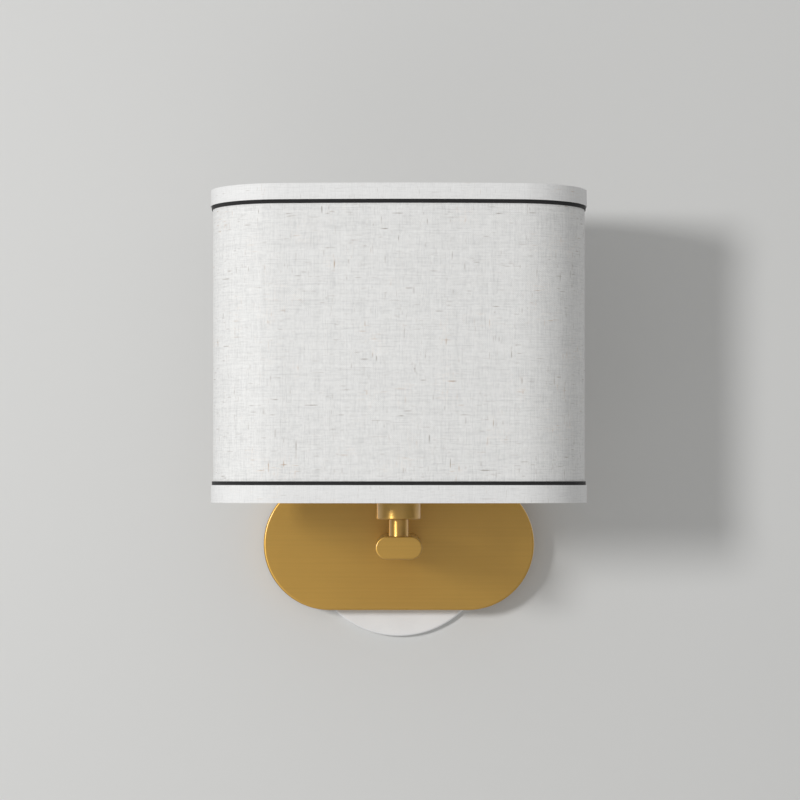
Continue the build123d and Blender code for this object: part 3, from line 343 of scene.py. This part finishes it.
def node(tree, kind, inputs=None, **settings):
    """Add a node, with its settings, and with its inputs as numbers or as links."""
    made = tree.nodes.new(kind)
    for name, value in settings.items():
        setattr(made, name, value)
    for name, value in (inputs or {}).items():
        if isinstance(value, bpy.types.NodeSocket):
            tree.links.new(value, made.inputs[name])
        else:
            made.inputs[name].default_value = value
    return made


def calc(tree, operation, *values):
    """The result of one sum on numbers or sockets."""
    return node(
        tree, "ShaderNodeMath", dict(enumerate(values)), operation=operation
    ).outputs["Value"]


def spread(tree, value, low, high, new_low=0.0, new_high=1.0):
    """Map a value from one range to another, and clamp it."""
    inputs = {
        "Value": value,
        "From Min": low,
        "From Max": high,
        "To Min": new_low,
        "To Max": new_high,
    }
    return node(tree, "ShaderNodeMapRange", inputs).outputs["Result"]


def blend_colour(tree, factor, first, second):
    """Mix two colours, each given as a socket or as three numbers."""
    mix = node(tree, "ShaderNodeMix", {"Factor": factor}, data_type="RGBA")
    for name, value in (("A", first), ("B", second)):
        socket = [s for s in mix.inputs if s.name == name and s.type == "RGBA"][0]
        if isinstance(value, bpy.types.NodeSocket):
            tree.links.new(value, socket)
        else:
            socket.default_value = (*value, 1)
    return [s for s in mix.outputs if s.type == "RGBA"][0]


def stretched_noise(tree, coordinates, scales, detail=2.0, offset=0.0):
    """Noise whose grains have a size of one over each scale along X, Y and Z."""
    placed = node(
        tree,
        "ShaderNodeMapping",
        {"Vector": coordinates, "Scale": scales, "Location": (offset, offset, offset)},
    )
    inputs = {"Vector": placed.outputs["Vector"], "Scale": 1.0, "Detail": detail}
    return node(tree, "ShaderNodeTexNoise", inputs).outputs["Fac"]


def swing(tree, noise, amount, base):
    """A base, moved up and down by a noise about its middle."""
    return calc(tree, "MULTIPLY_ADD", calc(tree, "SUBTRACT", noise, 0.5), amount, base)


def tone_colour(tree, ground, tone):
    """A colour made darker or lighter by a tone, where 1 leaves it as it is."""
    return node(
        tree, "ShaderNodeVectorMath", {0: ground, "Scale": tone}, operation="SCALE"
    ).outputs["Vector"]


def in_object(tree):
    """Object coordinates."""
    return node(tree, "ShaderNodeTexCoord").outputs["Object"]


def raise_surface(tree, shader, height, distance, strength=1.0):
    """Bump a finish by a height from 0 to 1, times a distance in metres."""
    bump = node(
        tree, "ShaderNodeBump", {"Height": height, "Distance": distance, "Strength": strength}
    )
    tree.links.new(bump.outputs["Normal"], shader.inputs["Normal"])


def plain_weave(tree, across, up, pitch):
    """Height of a plain weave, with each thread's number across and up."""
    columns = calc(tree, "DIVIDE", across, pitch)
    rows = calc(tree, "DIVIDE", up, pitch)
    column = calc(tree, "FLOOR", columns)
    row = calc(tree, "FLOOR", rows)
    heights = []
    for own, other, number, start in ((columns, rows, column, 0), (rows, columns, row, 1)):
        crown = calc(tree, "ABSOLUTE", calc(tree, "SINE", calc(tree, "MULTIPLY", own, math.pi)))
        step = calc(tree, "ADD", calc(tree, "ADD", other, number), start)
        over = calc(tree, "COSINE", calc(tree, "MULTIPLY", step, math.pi))
        over = calc(tree, "MULTIPLY_ADD", over, 0.5, 0.5)
        heights.append(calc(tree, "MULTIPLY", crown, over))
    return calc(tree, "MAXIMUM", *heights), column, row


def thread_noise(tree, number, along, grain, seed):
    """Noise that runs along each thread and starts afresh on the next."""
    apart = calc(tree, "MULTIPLY", number, 17.31)
    drawn_out = calc(tree, "MULTIPLY", along, grain)
    vector = node(tree, "ShaderNodeCombineXYZ", {"X": apart, "Y": drawn_out, "Z": seed})
    inputs = {"Vector": vector.outputs["Vector"], "Scale": 1.0, "Detail": 1.5}
    return node(tree, "ShaderNodeTexNoise", inputs).outputs["Fac"]


def woven_finish(name, ground, fleck, pitch, slubs, relief):
    """Cloth from its threads up: the weave, thick and thin threads, darker slubs, painted shade
    between threads.
    """
    material, tree, shader = new_finish(name)
    uv = node(tree, "ShaderNodeUVMap", uv_map="threads").outputs["UV"]
    place = node(tree, "ShaderNodeSeparateXYZ", {"Vector": uv})
    across, up = place.outputs["X"], place.outputs["Y"]
    height, column, row = plain_weave(tree, across, up, pitch)

    long_warp = thread_noise(tree, column, up, 110, 1.7)
    long_weft = thread_noise(tree, row, across, 95, 5.3)
    short_warp = thread_noise(tree, column, up, 420, 9.1)
    short_weft = thread_noise(tree, row, across, 380, 3.9)
    faint = calc(
        tree, "ADD", spread(tree, long_warp, 0.54, 0.80), spread(tree, long_weft, 0.54, 0.80)
    )
    slub = calc(
        tree, "MAXIMUM", spread(tree, long_warp, 0.68, 0.82), spread(tree, long_weft, 0.67, 0.81)
    )
    nep = calc(
        tree, "MAXIMUM", spread(tree, short_warp, 0.73, 0.86), spread(tree, short_weft, 0.72, 0.86)
    )
    patches = stretched_noise(tree, uv, (60, 60, 1), 3.0)
    uneven = spread(tree, patches, 0.30, 0.62, 0.3, 1.0)
    thick = calc(tree, "MULTIPLY", calc(tree, "MULTIPLY_ADD", faint, 0.28, slub), uneven)
    dark = calc(tree, "MULTIPLY_ADD", calc(tree, "MULTIPLY", nep, uneven), 0.9, thick)
    dark = calc(tree, "MULTIPLY", dark, 0.8 * slubs)

    own_warp = node(tree, "ShaderNodeTexWhiteNoise", {"W": column}, noise_dimensions="1D")
    own_weft = node(tree, "ShaderNodeTexWhiteNoise", {"W": row}, noise_dimensions="1D")
    own = calc(tree, "ADD", own_warp.outputs["Value"], own_weft.outputs["Value"])
    fine = calc(tree, "ADD", calc(tree, "ADD", long_warp, long_weft), -1.0)
    tone = calc(tree, "MULTIPLY", calc(tree, "ADD", own, -1.0), 0.045)
    tone = calc(tree, "MULTIPLY_ADD", fine, 0.36, tone)
    curls = calc(tree, "ADD", calc(tree, "ADD", short_warp, short_weft), -1.0)
    tone = calc(tree, "MULTIPLY_ADD", curls, 0.16, tone)
    tone = calc(tree, "ADD", tone, spread(tree, patches, 0.2, 0.8, -0.035, 0.035))
    # Painted shade: the tone is darker in the hollows between threads and lighter on their crowns.
    tone = calc(tree, "MULTIPLY_ADD", calc(tree, "SUBTRACT", height, 0.6), 0.06, tone)
    tone = calc(tree, "ADD", calc(tree, "MULTIPLY", tone, slubs), 1.0)
    toned = tone_colour(tree, ground, tone)
    warm = spread(tree, stretched_noise(tree, uv, (45, 45, 1), 1.0, 8.3), 0.56, 0.66)
    straw = tuple(value * tint for value, tint in zip(fleck, (1.25, 0.95, 0.70)))
    thread = blend_colour(tree, warm, fleck, straw)
    cloth = blend_colour(tree, calc(tree, "MINIMUM", dark, 0.85), toned, thread)
    tree.links.new(cloth, shader.inputs["Base Color"])
    raised = calc(tree, "MULTIPLY_ADD", thick, 0.8, height)
    raise_surface(tree, shader, raised, relief, 0.6)
    shader.inputs["Roughness"].default_value = 0.9
    shader.inputs["Specular IOR Level"].default_value = 0.2
    shader.inputs["Sheen Weight"].default_value = 0.12
    shader.inputs["Sheen Roughness"].default_value = 0.5
    return material


def ribbed_finish(name, ground, pitch, relief):
    """Narrow ribbon with ribs across it, paler in flecks along the ribs' tops."""
    material, tree, shader = new_finish(name)
    uv = node(tree, "ShaderNodeUVMap", uv_map="threads").outputs["UV"]
    place = node(tree, "ShaderNodeSeparateXYZ", {"Vector": uv})
    ribs = calc(tree, "MULTIPLY", place.outputs["X"], math.pi / pitch)
    rib = calc(tree, "ABSOLUTE", calc(tree, "SINE", ribs))
    fluff = stretched_noise(tree, uv, (900, 2500, 1), 3.0)
    # Paler colour in flecks along the ribs' tops, where the fluff noise is high.
    pale_rib_flecks = spread(tree, calc(tree, "MULTIPLY", rib, fluff), 0.30, 0.75)
    paler = tuple(min(1, 2.0 * value + 0.004) for value in ground)
    tree.links.new(blend_colour(tree, pale_rib_flecks, ground, paler), shader.inputs["Base Color"])
    raise_surface(tree, shader, calc(tree, "MULTIPLY_ADD", fluff, 0.3, rib), relief, 0.7)
    shader.inputs["Roughness"].default_value = 0.82
    shader.inputs["Specular IOR Level"].default_value = 0.25
    shader.inputs["Sheen Weight"].default_value = 0.08
    return material


def brushed_finish(name, metal, dullness, lacquer, fine, broad, stretch, sharpness, turn):
    """Lacquered brass with fine and broad brush lines, and a shine that stretches one way."""
    material, tree, shader = new_finish(name)
    place = in_object(tree)
    lines = stretched_noise(tree, place, fine, 3.0)
    streaks = stretched_noise(tree, place, broad, 2.0, 3.7)
    clouds = stretched_noise(tree, place, (22, 22, 22), 3.0, 1.9)
    tone = swing(tree, streaks, 0.34 * metal.brush, 1.0)
    tone = swing(tree, lines, 0.22 * metal.brush, tone)
    tone = swing(tree, clouds, 0.10, tone)
    tree.links.new(tone_colour(tree, metal.brass_colour, tone), shader.inputs["Base Color"])
    dull = swing(tree, lines, 0.16, dullness * metal.brass_roughness)
    dull = swing(tree, clouds, 0.10, dull)
    tree.links.new(dull, shader.inputs["Roughness"])
    both = calc(tree, "MULTIPLY_ADD", streaks, 0.6, lines)
    raise_surface(tree, shader, both, 0.02 * MM, metal.brush)
    along = node(tree, "ShaderNodeCombineXYZ", dict(zip("XYZ", stretch))).outputs["Vector"]
    tree.links.new(along, shader.inputs["Tangent"])
    shader.inputs["Anisotropic"].default_value = sharpness
    shader.inputs["Anisotropic Rotation"].default_value = turn
    shader.inputs["Coat Weight"].default_value = lacquer
    shader.inputs["Coat Roughness"].default_value = 0.18
    shader.inputs["Metallic"].default_value = 1.0
    return material


def speckled_finish(name, ground, roughness, metallic=0.0, grain=900, relief=0.01, tone=0.06):
    """A moulded, plated or painted surface with a fine grain and a faint mottle."""
    material, tree, shader = new_finish(name)
    place = in_object(tree)
    fine = stretched_noise(tree, place, (grain, grain, grain), 3.0)
    mottle = stretched_noise(tree, place, (60, 60, 60), 2.0, 2.3)
    level = swing(tree, mottle, 2 * tone, 1.0)
    level = swing(tree, fine, tone, level)
    tree.links.new(tone_colour(tree, ground, level), shader.inputs["Base Color"])
    tree.links.new(swing(tree, fine, 0.2, roughness), shader.inputs["Roughness"])
    raise_surface(tree, shader, fine, relief * MM, 0.5)
    shader.inputs["Metallic"].default_value = metallic
    return material


def glass_finish(name, tint):
    """Clear glass with faint waves in it."""
    material, tree, shader = new_finish(name)
    waves = stretched_noise(tree, in_object(tree), (45, 45, 30), 1.0)
    raise_surface(tree, shader, waves, 0.15 * MM, 0.3)
    shader.inputs["Base Color"].default_value = (*tint, 1)
    shader.inputs["Transmission Weight"].default_value = 1.0
    shader.inputs["Roughness"].default_value = 0.0
    shader.inputs["IOR"].default_value = 1.5
    return material


def dress(finish, *nodes):
    """Give CAD nodes a finish in place of their plain one."""
    for name in nodes:
        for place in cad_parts[name].material_slots:
            place.material = finish


# ---------------------------------------------------------------- pieces
class WALL_LIGHT_OT_linen_cover(bpy.types.Operator):
    """Make the linen cover, wrapped round the shade with an overlap down the back"""

    bl_idname = "wall_light.linen_cover"
    bl_label = "Linen Cover"

    def execute(self, context):
        shade = context.scene.shade_settings
        low, high = LINEN_LOW.z, LINEN_HIGH.z
        cover = shade_tube("linen_cover", low, high, 0)
        cut_across(cover, (shade.seam / 2, 0, 0), (1, 0, 0))
        cut_across(cover, (-shade.seam / 2, 0, 0), (1, 0, 0))
        leave_all()
        cover.select_set(True)
        finish_with(cover, "SOLIDIFY", thickness=shade.cloth, offset=-1)

        bpy.ops.mesh.primitive_cube_add(
            size=1,
            location=(0, LINEN_HIGH.y, (low + high) / 2),
            scale=(shade.seam, shade.cloth, high - low - 2 * shade.tape),
        )
        overlap = bpy.context.object
        bpy.ops.object.transform_apply(location=True, rotation=False, scale=True)
        bpy.ops.object.mode_set(mode="EDIT")
        choose(overlap, edges=lambda edge: upright(edge) and middle(edge).y > LINEN_HIGH.y)
        bpy.ops.mesh.bevel(offset=shade.cloth / 3, segments=3)
        leave_all()
        overlap.select_set(True)
        cover.select_set(True)
        context.view_layer.objects.active = cover
        bpy.ops.object.join()
        lay_threads(cover)
        smooth(cover)
        finish = woven_finish(
            "slub linen", shade.linen_colour, shade.slub_colour, shade.pitch, 1.0, 0.16 * MM
        )
        hand_over(cover, "shade", "white_linen", finish, "shade_linen")
        return {"FINISHED"}


def rim_tape(name, rim, edge):
    """White tape from its outside edge over the rim and the wire ring, and down inside."""
    shade = bpy.context.scene.shade_settings
    up = 1 if rim > edge else -1
    half = shade.tape / 2
    skin = 2 * shade.tape - half
    liner_face = LINER_FACE + LINER
    wire_face = liner_face + shade.rim_wire + half
    rim_level = rim - up * half
    tape = shade_tube(name, min(rim_level, edge), max(rim_level, edge), skin)
    choose(tape, edges=lambda e: e.is_boundary and abs(middle(e).z - rim_level) < ON_LEVEL)
    bpy.ops.mesh.edge_face_add()
    bpy.ops.mesh.inset(thickness=skin + wire_face, depth=0)
    bpy.ops.mesh.delete(type="FACE")
    steps = (
        (False, rim_level - up * shade.rim_wire),
        (True, rim_level - up * (shade.rim_wire + half)),
        (False, rim - up * shade.turn_in),
    )
    level = rim_level
    for moves_out, next_level in steps:
        choose(tape, edges=lambda e: e.is_boundary and abs(middle(e).z - level) < ON_LEVEL)
        bpy.ops.mesh.extrude_edges_move(
            TRANSFORM_OT_translate={"value": (0, 0, next_level - level)}
        )
        if moves_out:
            bpy.ops.transform.shrink_fatten(value=half + liner_face - wire_face)
        level = next_level
    return tape


def notch_tape(tape, level):
    """Clear a tape's inside above a level where the fitter's four arms meet the wire ring."""
    half = bpy.context.scene.shade_settings.notch / 2
    cut_across(tape, (0, 0, level), (0, 0, 1))
    for side in (-half, half):
        cut_across(tape, (side, 0, 0), (1, 0, 0))
        cut_across(tape, (0, AXIS_Y + side, 0), (0, 1, 0))

    def in_notch(face):
        place = face.calc_center_median()
        near = min(abs(place.x), abs(place.y - AXIS_Y)) < half
        return near and place.z > level and around(place.x, place.y)[1] > 0.5 * MM

    choose(tape, faces=in_notch)
    bpy.ops.mesh.delete(type="FACE")


class WALL_LIGHT_OT_white_tapes(bpy.types.Operator):
    """Make the white tapes folded over the top and bottom rims"""

    bl_idname = "wall_light.white_tapes"
    bl_label = "White Tapes"

    def execute(self, context):
        shade = context.scene.shade_settings
        finish = woven_finish(
            "fine tape", shade.tape_colour, shade.slub_colour, 0.4 * MM, 0.6, 0.07 * MM
        )
        rims = (
            ("top", TOP_TAPE_HIGH.z, TOP_TAPE_LOW.z),
            ("bottom", BOTTOM_TAPE_LOW.z, BOTTOM_TAPE_HIGH.z),
        )
        for end, rim, edge in rims:
            tape = rim_tape(end + "_white_trim", rim, edge)
            if end == "bottom":
                notch_tape(tape, rim + shade.tape)
            leave_all()
            tape.select_set(True)
            finish_with(tape, "SOLIDIFY", thickness=shade.tape, offset=0)
            lay_threads(tape, fold=1 if rim > edge else -1)
            smooth(tape)
            hand_over(tape, "shade", "white_tape", finish, end + "_white_tape")
        return {"FINISHED"}


class WALL_LIGHT_OT_black_tapes(bpy.types.Operator):
    """Make the black tapes that show as a line along each white one"""

    bl_idname = "wall_light.black_tapes"
    bl_label = "Black Tapes"

    def execute(self, context):
        shade = context.scene.shade_settings
        finish = ribbed_finish("black ribbon", shade.line_colour, 0.5 * MM, 0.06 * MM)
        lines = (
            ("top", TOP_LINE_LOW.z, TOP_TAPE_LOW.z + TAPE_LAP),
            ("bottom", BOTTOM_TAPE_HIGH.z - TAPE_LAP, BOTTOM_LINE_HIGH.z),
        )
        for end, low, high in lines:
            line = shade_tube(end + "_black_trim", low, high, shade.tape)
            leave_all()
            line.select_set(True)
            finish_with(line, "SOLIDIFY", thickness=shade.tape, offset=-1)
            finish_with(line, "BEVEL", width=0.18 * MM, segments=2, angle_limit=math.radians(60))
            lay_threads(line)
            smooth(line)
            hand_over(line, "shade", "black_tape", finish, end + "_black_tape")
        return {"FINISHED"}


class WALL_LIGHT_OT_declare_cloth(bpy.types.Operator):
    """An empty step that changes nothing in the scene"""

    bl_idname = "wall_light.declare_cloth"
    bl_label = "Cloth Sizes"

    def execute(self, context):
        return {"FINISHED"}


class WALL_LIGHT_OT_brass_finish(bpy.types.Operator):
    """Brush the brass plate, arm, stem and cup, each along its own direction"""

    bl_idname = "wall_light.brass_finish"
    bl_label = "Satin Brass"

    def execute(self, context):
        metal = context.scene.metal_settings
        out, up = (0, 1, 0), (0, 0, 1)
        across = brushed_finish(
            "brass brushed across", metal, 1.0, 0.7, (40, 3200, 3200), (9, 700, 700), up, 0.5, 0.0
        )
        dress(across, "backplate", "arm_end_cap")
        along = brushed_finish(
            "brass brushed along", metal, 1.0, 0.7, (3200, 40, 3200), (700, 9, 700), out, 0.5, 0.25
        )
        dress(along, "arm_tube")
        turned = brushed_finish(
            "brass turned", metal, 0.86, 1.0, (50, 50, 3200), (20, 20, 700), up, 0.65, 0.0
        )
        dress(turned, "stem_tube", "lampholder_cup")
        return {"FINISHED"}


class WALL_LIGHT_OT_hardware_finish(bpy.types.Operator):
    """Finish the wall side: disc, crossbar, screws, nuts, terminals and wires"""

    bl_idname = "wall_light.hardware_finish"
    bl_label = "Hardware"

    def execute(self, context):
        metal = context.scene.metal_settings
        lamp = context.scene.lamp_settings
        shade = context.scene.shade_settings
        paint = speckled_finish("white paint", metal.paint_colour, 0.5, grain=1400, relief=0.012)
        dress(paint, "wall_disc")
        zinc = speckled_finish("zinc plate", metal.zinc_colour, 0.38, 1.0, 500, tone=0.12)
        dress(
            zinc, "crossbar", "plate_set_screws", "star_washer", "plate_nut", "locating_pin",
            "arm_nut", "cup_nut", "block_screws", "block_fixing_screw", "plunger_spring",
            "ring_terminals",
        )
        green = speckled_finish("green zinc", (0.03, 0.22, 0.06), 0.35, 0.6, 500)
        dress(green, "ground_screw")
        turned = speckled_finish("turned brass", (0.62, 0.44, 0.18), 0.3, 1.0, 700)
        dress(
            turned, "arm_root_plug", "plate_nipple", "stem_nipple", "screw_shell",
            "line_terminal", "neutral_terminal", "contact_plunger",
        )
        moulded = speckled_finish("moulded block", lamp.block_colour, 0.45)
        dress(moulded, "terminal_block", "nipple_bush")
        insulation = (
            ("line_wire", (0.02, 0.02, 0.02)),
            ("neutral_wire", (0.72, 0.72, 0.70)),
            ("ground_wire", (0.04, 0.26, 0.08)),
        )
        for name, tint in insulation:
            dress(speckled_finish(name.replace("_", " "), tint, 0.42), name)
        powder = speckled_finish("powder coat", shade.liner_colour, 0.45, grain=1600, relief=0.02)
        dress(powder, "bottom_wire_ring", "top_wire_ring", "shade_fitter")
        dress(speckled_finish("liner", shade.liner_colour, 0.5, grain=1100), "shade_liner")
        return {"FINISHED"}


class WALL_LIGHT_OT_lamp_finish(bpy.types.Operator):
    """Finish the lampholder, its ring and the lamp"""

    bl_idname = "wall_light.lamp_finish"
    bl_label = "Lamp and Holder"

    def execute(self, context):
        metal = context.scene.metal_settings
        lamp = context.scene.lamp_settings
        black = speckled_finish("black moulding", lamp.holder_colour, 0.32, grain=700)
        dress(black, "holder_dome", "holder_core", "holder_barrel", "shade_ring")
        dress(glass_finish("lamp glass", lamp.glass_tint), "lamp_glass", "lamp_pillar")
        dress(speckled_finish("filament coat", lamp.coat_colour, 0.6), "lamp_filaments")
        nickel = speckled_finish("nickel", metal.nickel_colour, 0.25, 1.0, 600)
        dress(nickel, "lamp_cap", "lamp_leads", "lamp_tip")
        dress(speckled_finish("black glass", (0.015, 0.015, 0.02), 0.12), "lamp_insulator")
        return {"FINISHED"}


# ---------------------------------------------------------------- stage
def stage_plane(name, place, rotation, tint):
    """A large plain sheet of the stage."""
    leave_all()
    bpy.ops.mesh.primitive_plane_add(size=STAGE_SIZE, location=place, rotation=rotation)
    plane = bpy.context.object
    plane.name = name
    material, tree, shader = new_finish(name)
    shader.inputs["Base Color"].default_value = (*tint, 1)
    shader.inputs["Roughness"].default_value = 0.9
    shader.inputs["Specular IOR Level"].default_value = 0.1
    plane.data.materials.append(material)
    return plane, tree, shader


class WALL_LIGHT_OT_stage(bpy.types.Operator):
    """Set up the camera, the lights, the plain wall and the floor"""

    bl_idname = "wall_light.stage"
    bl_label = "Stage"

    def execute(self, context):
        stage = context.scene.stage_settings
        leave_all()
        bpy.ops.object.camera_add(
            location=(0, -stage.distance, stage.eye_height), rotation=(math.radians(90), 0, 0)
        )
        camera = context.object
        camera.name = "camera"
        camera.data.lens = stage.lens
        camera.data.sensor_width = 36
        camera.data.shift_x = stage.slide
        camera.data.shift_y = stage.rise
        context.scene.camera = camera

        wall, tree, shader = stage_plane(
            "backdrop", (0, WALL_GAP, 0), (math.radians(90), 0, 0), stage.wall_colour
        )
        self.see_through_from_behind(tree, shader)
        wall.visible_diffuse = False
        wall.visible_glossy = False
        wall.visible_transmission = False
        wall.visible_shadow = False
        stage_plane("floor", (0, 0, FLOOR_LEVEL), (0, 0, 0), stage.floor_colour)

        self.light_key(stage)
        self.light_room(context.scene, stage)
        context.scene.view_settings.view_transform = "Standard"
        return {"FINISHED"}

    def light_key(self, stage):
        """One soft light from the left, a little above, that points at the shade's lower rim."""
        aim = Vector((0, AXIS_Y, LINEN_LOW.z))
        level = math.cos(stage.key_rise)
        left, front = level * math.sin(stage.key_turn), level * math.cos(stage.key_turn)
        towards = Vector((-left, -front, math.sin(stage.key_rise)))
        bpy.ops.object.light_add(type="AREA", location=aim + KEY_DISTANCE * towards)
        key = bpy.context.object
        key.name = "key"
        key.data.shape = "ELLIPSE"
        key.data.size = KEY_WIDTH
        key.data.size_y = KEY_HEIGHT
        key.data.energy = stage.key_power
        key.rotation_euler = (-towards).to_track_quat("-Z", "Y").to_euler()

    def see_through_from_behind(self, tree, shader):
        """Let a view from behind the wall see the light's back."""
        side = node(tree, "ShaderNodeNewGeometry").outputs["Backfacing"]
        clear = node(tree, "ShaderNodeBsdfTransparent").outputs["BSDF"]
        mixed = node(
            tree, "ShaderNodeMixShader", {0: side, 1: shader.outputs["BSDF"], 2: clear}
        )
        tree.links.new(mixed.outputs["Shader"], tree.nodes["Material Output"].inputs["Surface"])

    def light_room(self, scene, stage):
        """Even light from all round, and a plain pale background to the eye, metal and glass."""
        world = scene.world or bpy.data.worlds.new("room")
        scene.world = world
        world.use_nodes = True
        tree = world.node_tree
        background = tree.nodes["Background"]
        path = node(tree, "ShaderNodeLightPath")
        seen = calc(
            tree,
            "MAXIMUM",
            path.outputs["Is Camera Ray"],
            path.outputs["Is Transmission Ray"],
        )
        towards = node(tree, "ShaderNodeTexCoord").outputs["Generated"]
        side = node(tree, "ShaderNodeSeparateXYZ", {"Vector": towards})
        right = spread(tree, side.outputs["X"], 0.30, 0.85, 0.0, DIMMER_RIGHT)
        left = spread(tree, side.outputs["X"], -0.97, -0.70, DIMMER_LEFT, 0.0)
        ahead = calc(tree, "SUBTRACT", calc(tree, "SUBTRACT", SHINE_AHEAD, right), left)
        behind = spread(tree, side.outputs["Y"], -0.15, 0.15)
        glossy = node(
            tree, "ShaderNodeMix", {"Factor": behind, "A": ahead, "B": SHINE_BEHIND}
        ).outputs["Result"]
        strength = node(
            tree,
            "ShaderNodeMix",
            {"Factor": path.outputs["Is Glossy Ray"], "A": stage.room_light, "B": glossy},
        ).outputs["Result"]
        strength = node(
            tree, "ShaderNodeMix", {"Factor": seen, "A": strength, "B": BACKGROUND}
        ).outputs["Result"]
        background.inputs["Color"].default_value = (1, 1, 1, 1)
        tree.links.new(strength, background.inputs["Strength"])


class WALL_LIGHT_PT_panel(bpy.types.Panel):
    """Sizes, colours and steps of the wall light"""

    bl_idname = "WALL_LIGHT_PT_panel"
    bl_label = "Wall Light"
    bl_space_type = "VIEW_3D"
    bl_region_type = "UI"
    bl_category = "Wall Light"

    def draw(self, context):
        for settings in SETTINGS:
            box = self.layout.box()
            box.label(text=settings.replace("_", " ").capitalize())
            group = getattr(context.scene, settings)
            for name in group.__annotations__:
                box.prop(group, name)
        for step in STEPS:
            self.layout.operator(step.bl_idname)


SETTINGS = {
    "shade_settings": ShadeSettings,
    "metal_settings": MetalSettings,
    "lamp_settings": LampSettings,
    "stage_settings": StageSettings,
}
STEPS = (
    WALL_LIGHT_OT_stage,
    WALL_LIGHT_OT_linen_cover,
    WALL_LIGHT_OT_white_tapes,
    WALL_LIGHT_OT_black_tapes,
    WALL_LIGHT_OT_declare_cloth,
    WALL_LIGHT_OT_brass_finish,
    WALL_LIGHT_OT_hardware_finish,
    WALL_LIGHT_OT_lamp_finish,
)


def register():
    for settings, group in SETTINGS.items():
        bpy.utils.register_class(group)
        setattr(bpy.types.Scene, settings, bpy.props.PointerProperty(type=group))
    for step in STEPS:
        bpy.utils.register_class(step)
    bpy.utils.register_class(WALL_LIGHT_PT_panel)


def unregister():
    bpy.utils.unregister_class(WALL_LIGHT_PT_panel)
    for step in reversed(STEPS):
        bpy.utils.unregister_class(step)
    for settings, group in reversed(list(SETTINGS.items())):
        delattr(bpy.types.Scene, settings)
        bpy.utils.unregister_class(group)


def main():
    register()
    bpy.ops.wall_light.stage()
    bpy.ops.wall_light.linen_cover()
    bpy.ops.wall_light.white_tapes()
    bpy.ops.wall_light.black_tapes()
    bpy.ops.wall_light.declare_cloth()
    bpy.ops.wall_light.brass_finish()
    bpy.ops.wall_light.hardware_finish()
    bpy.ops.wall_light.lamp_finish()


if __name__ == "__main__":
    main()
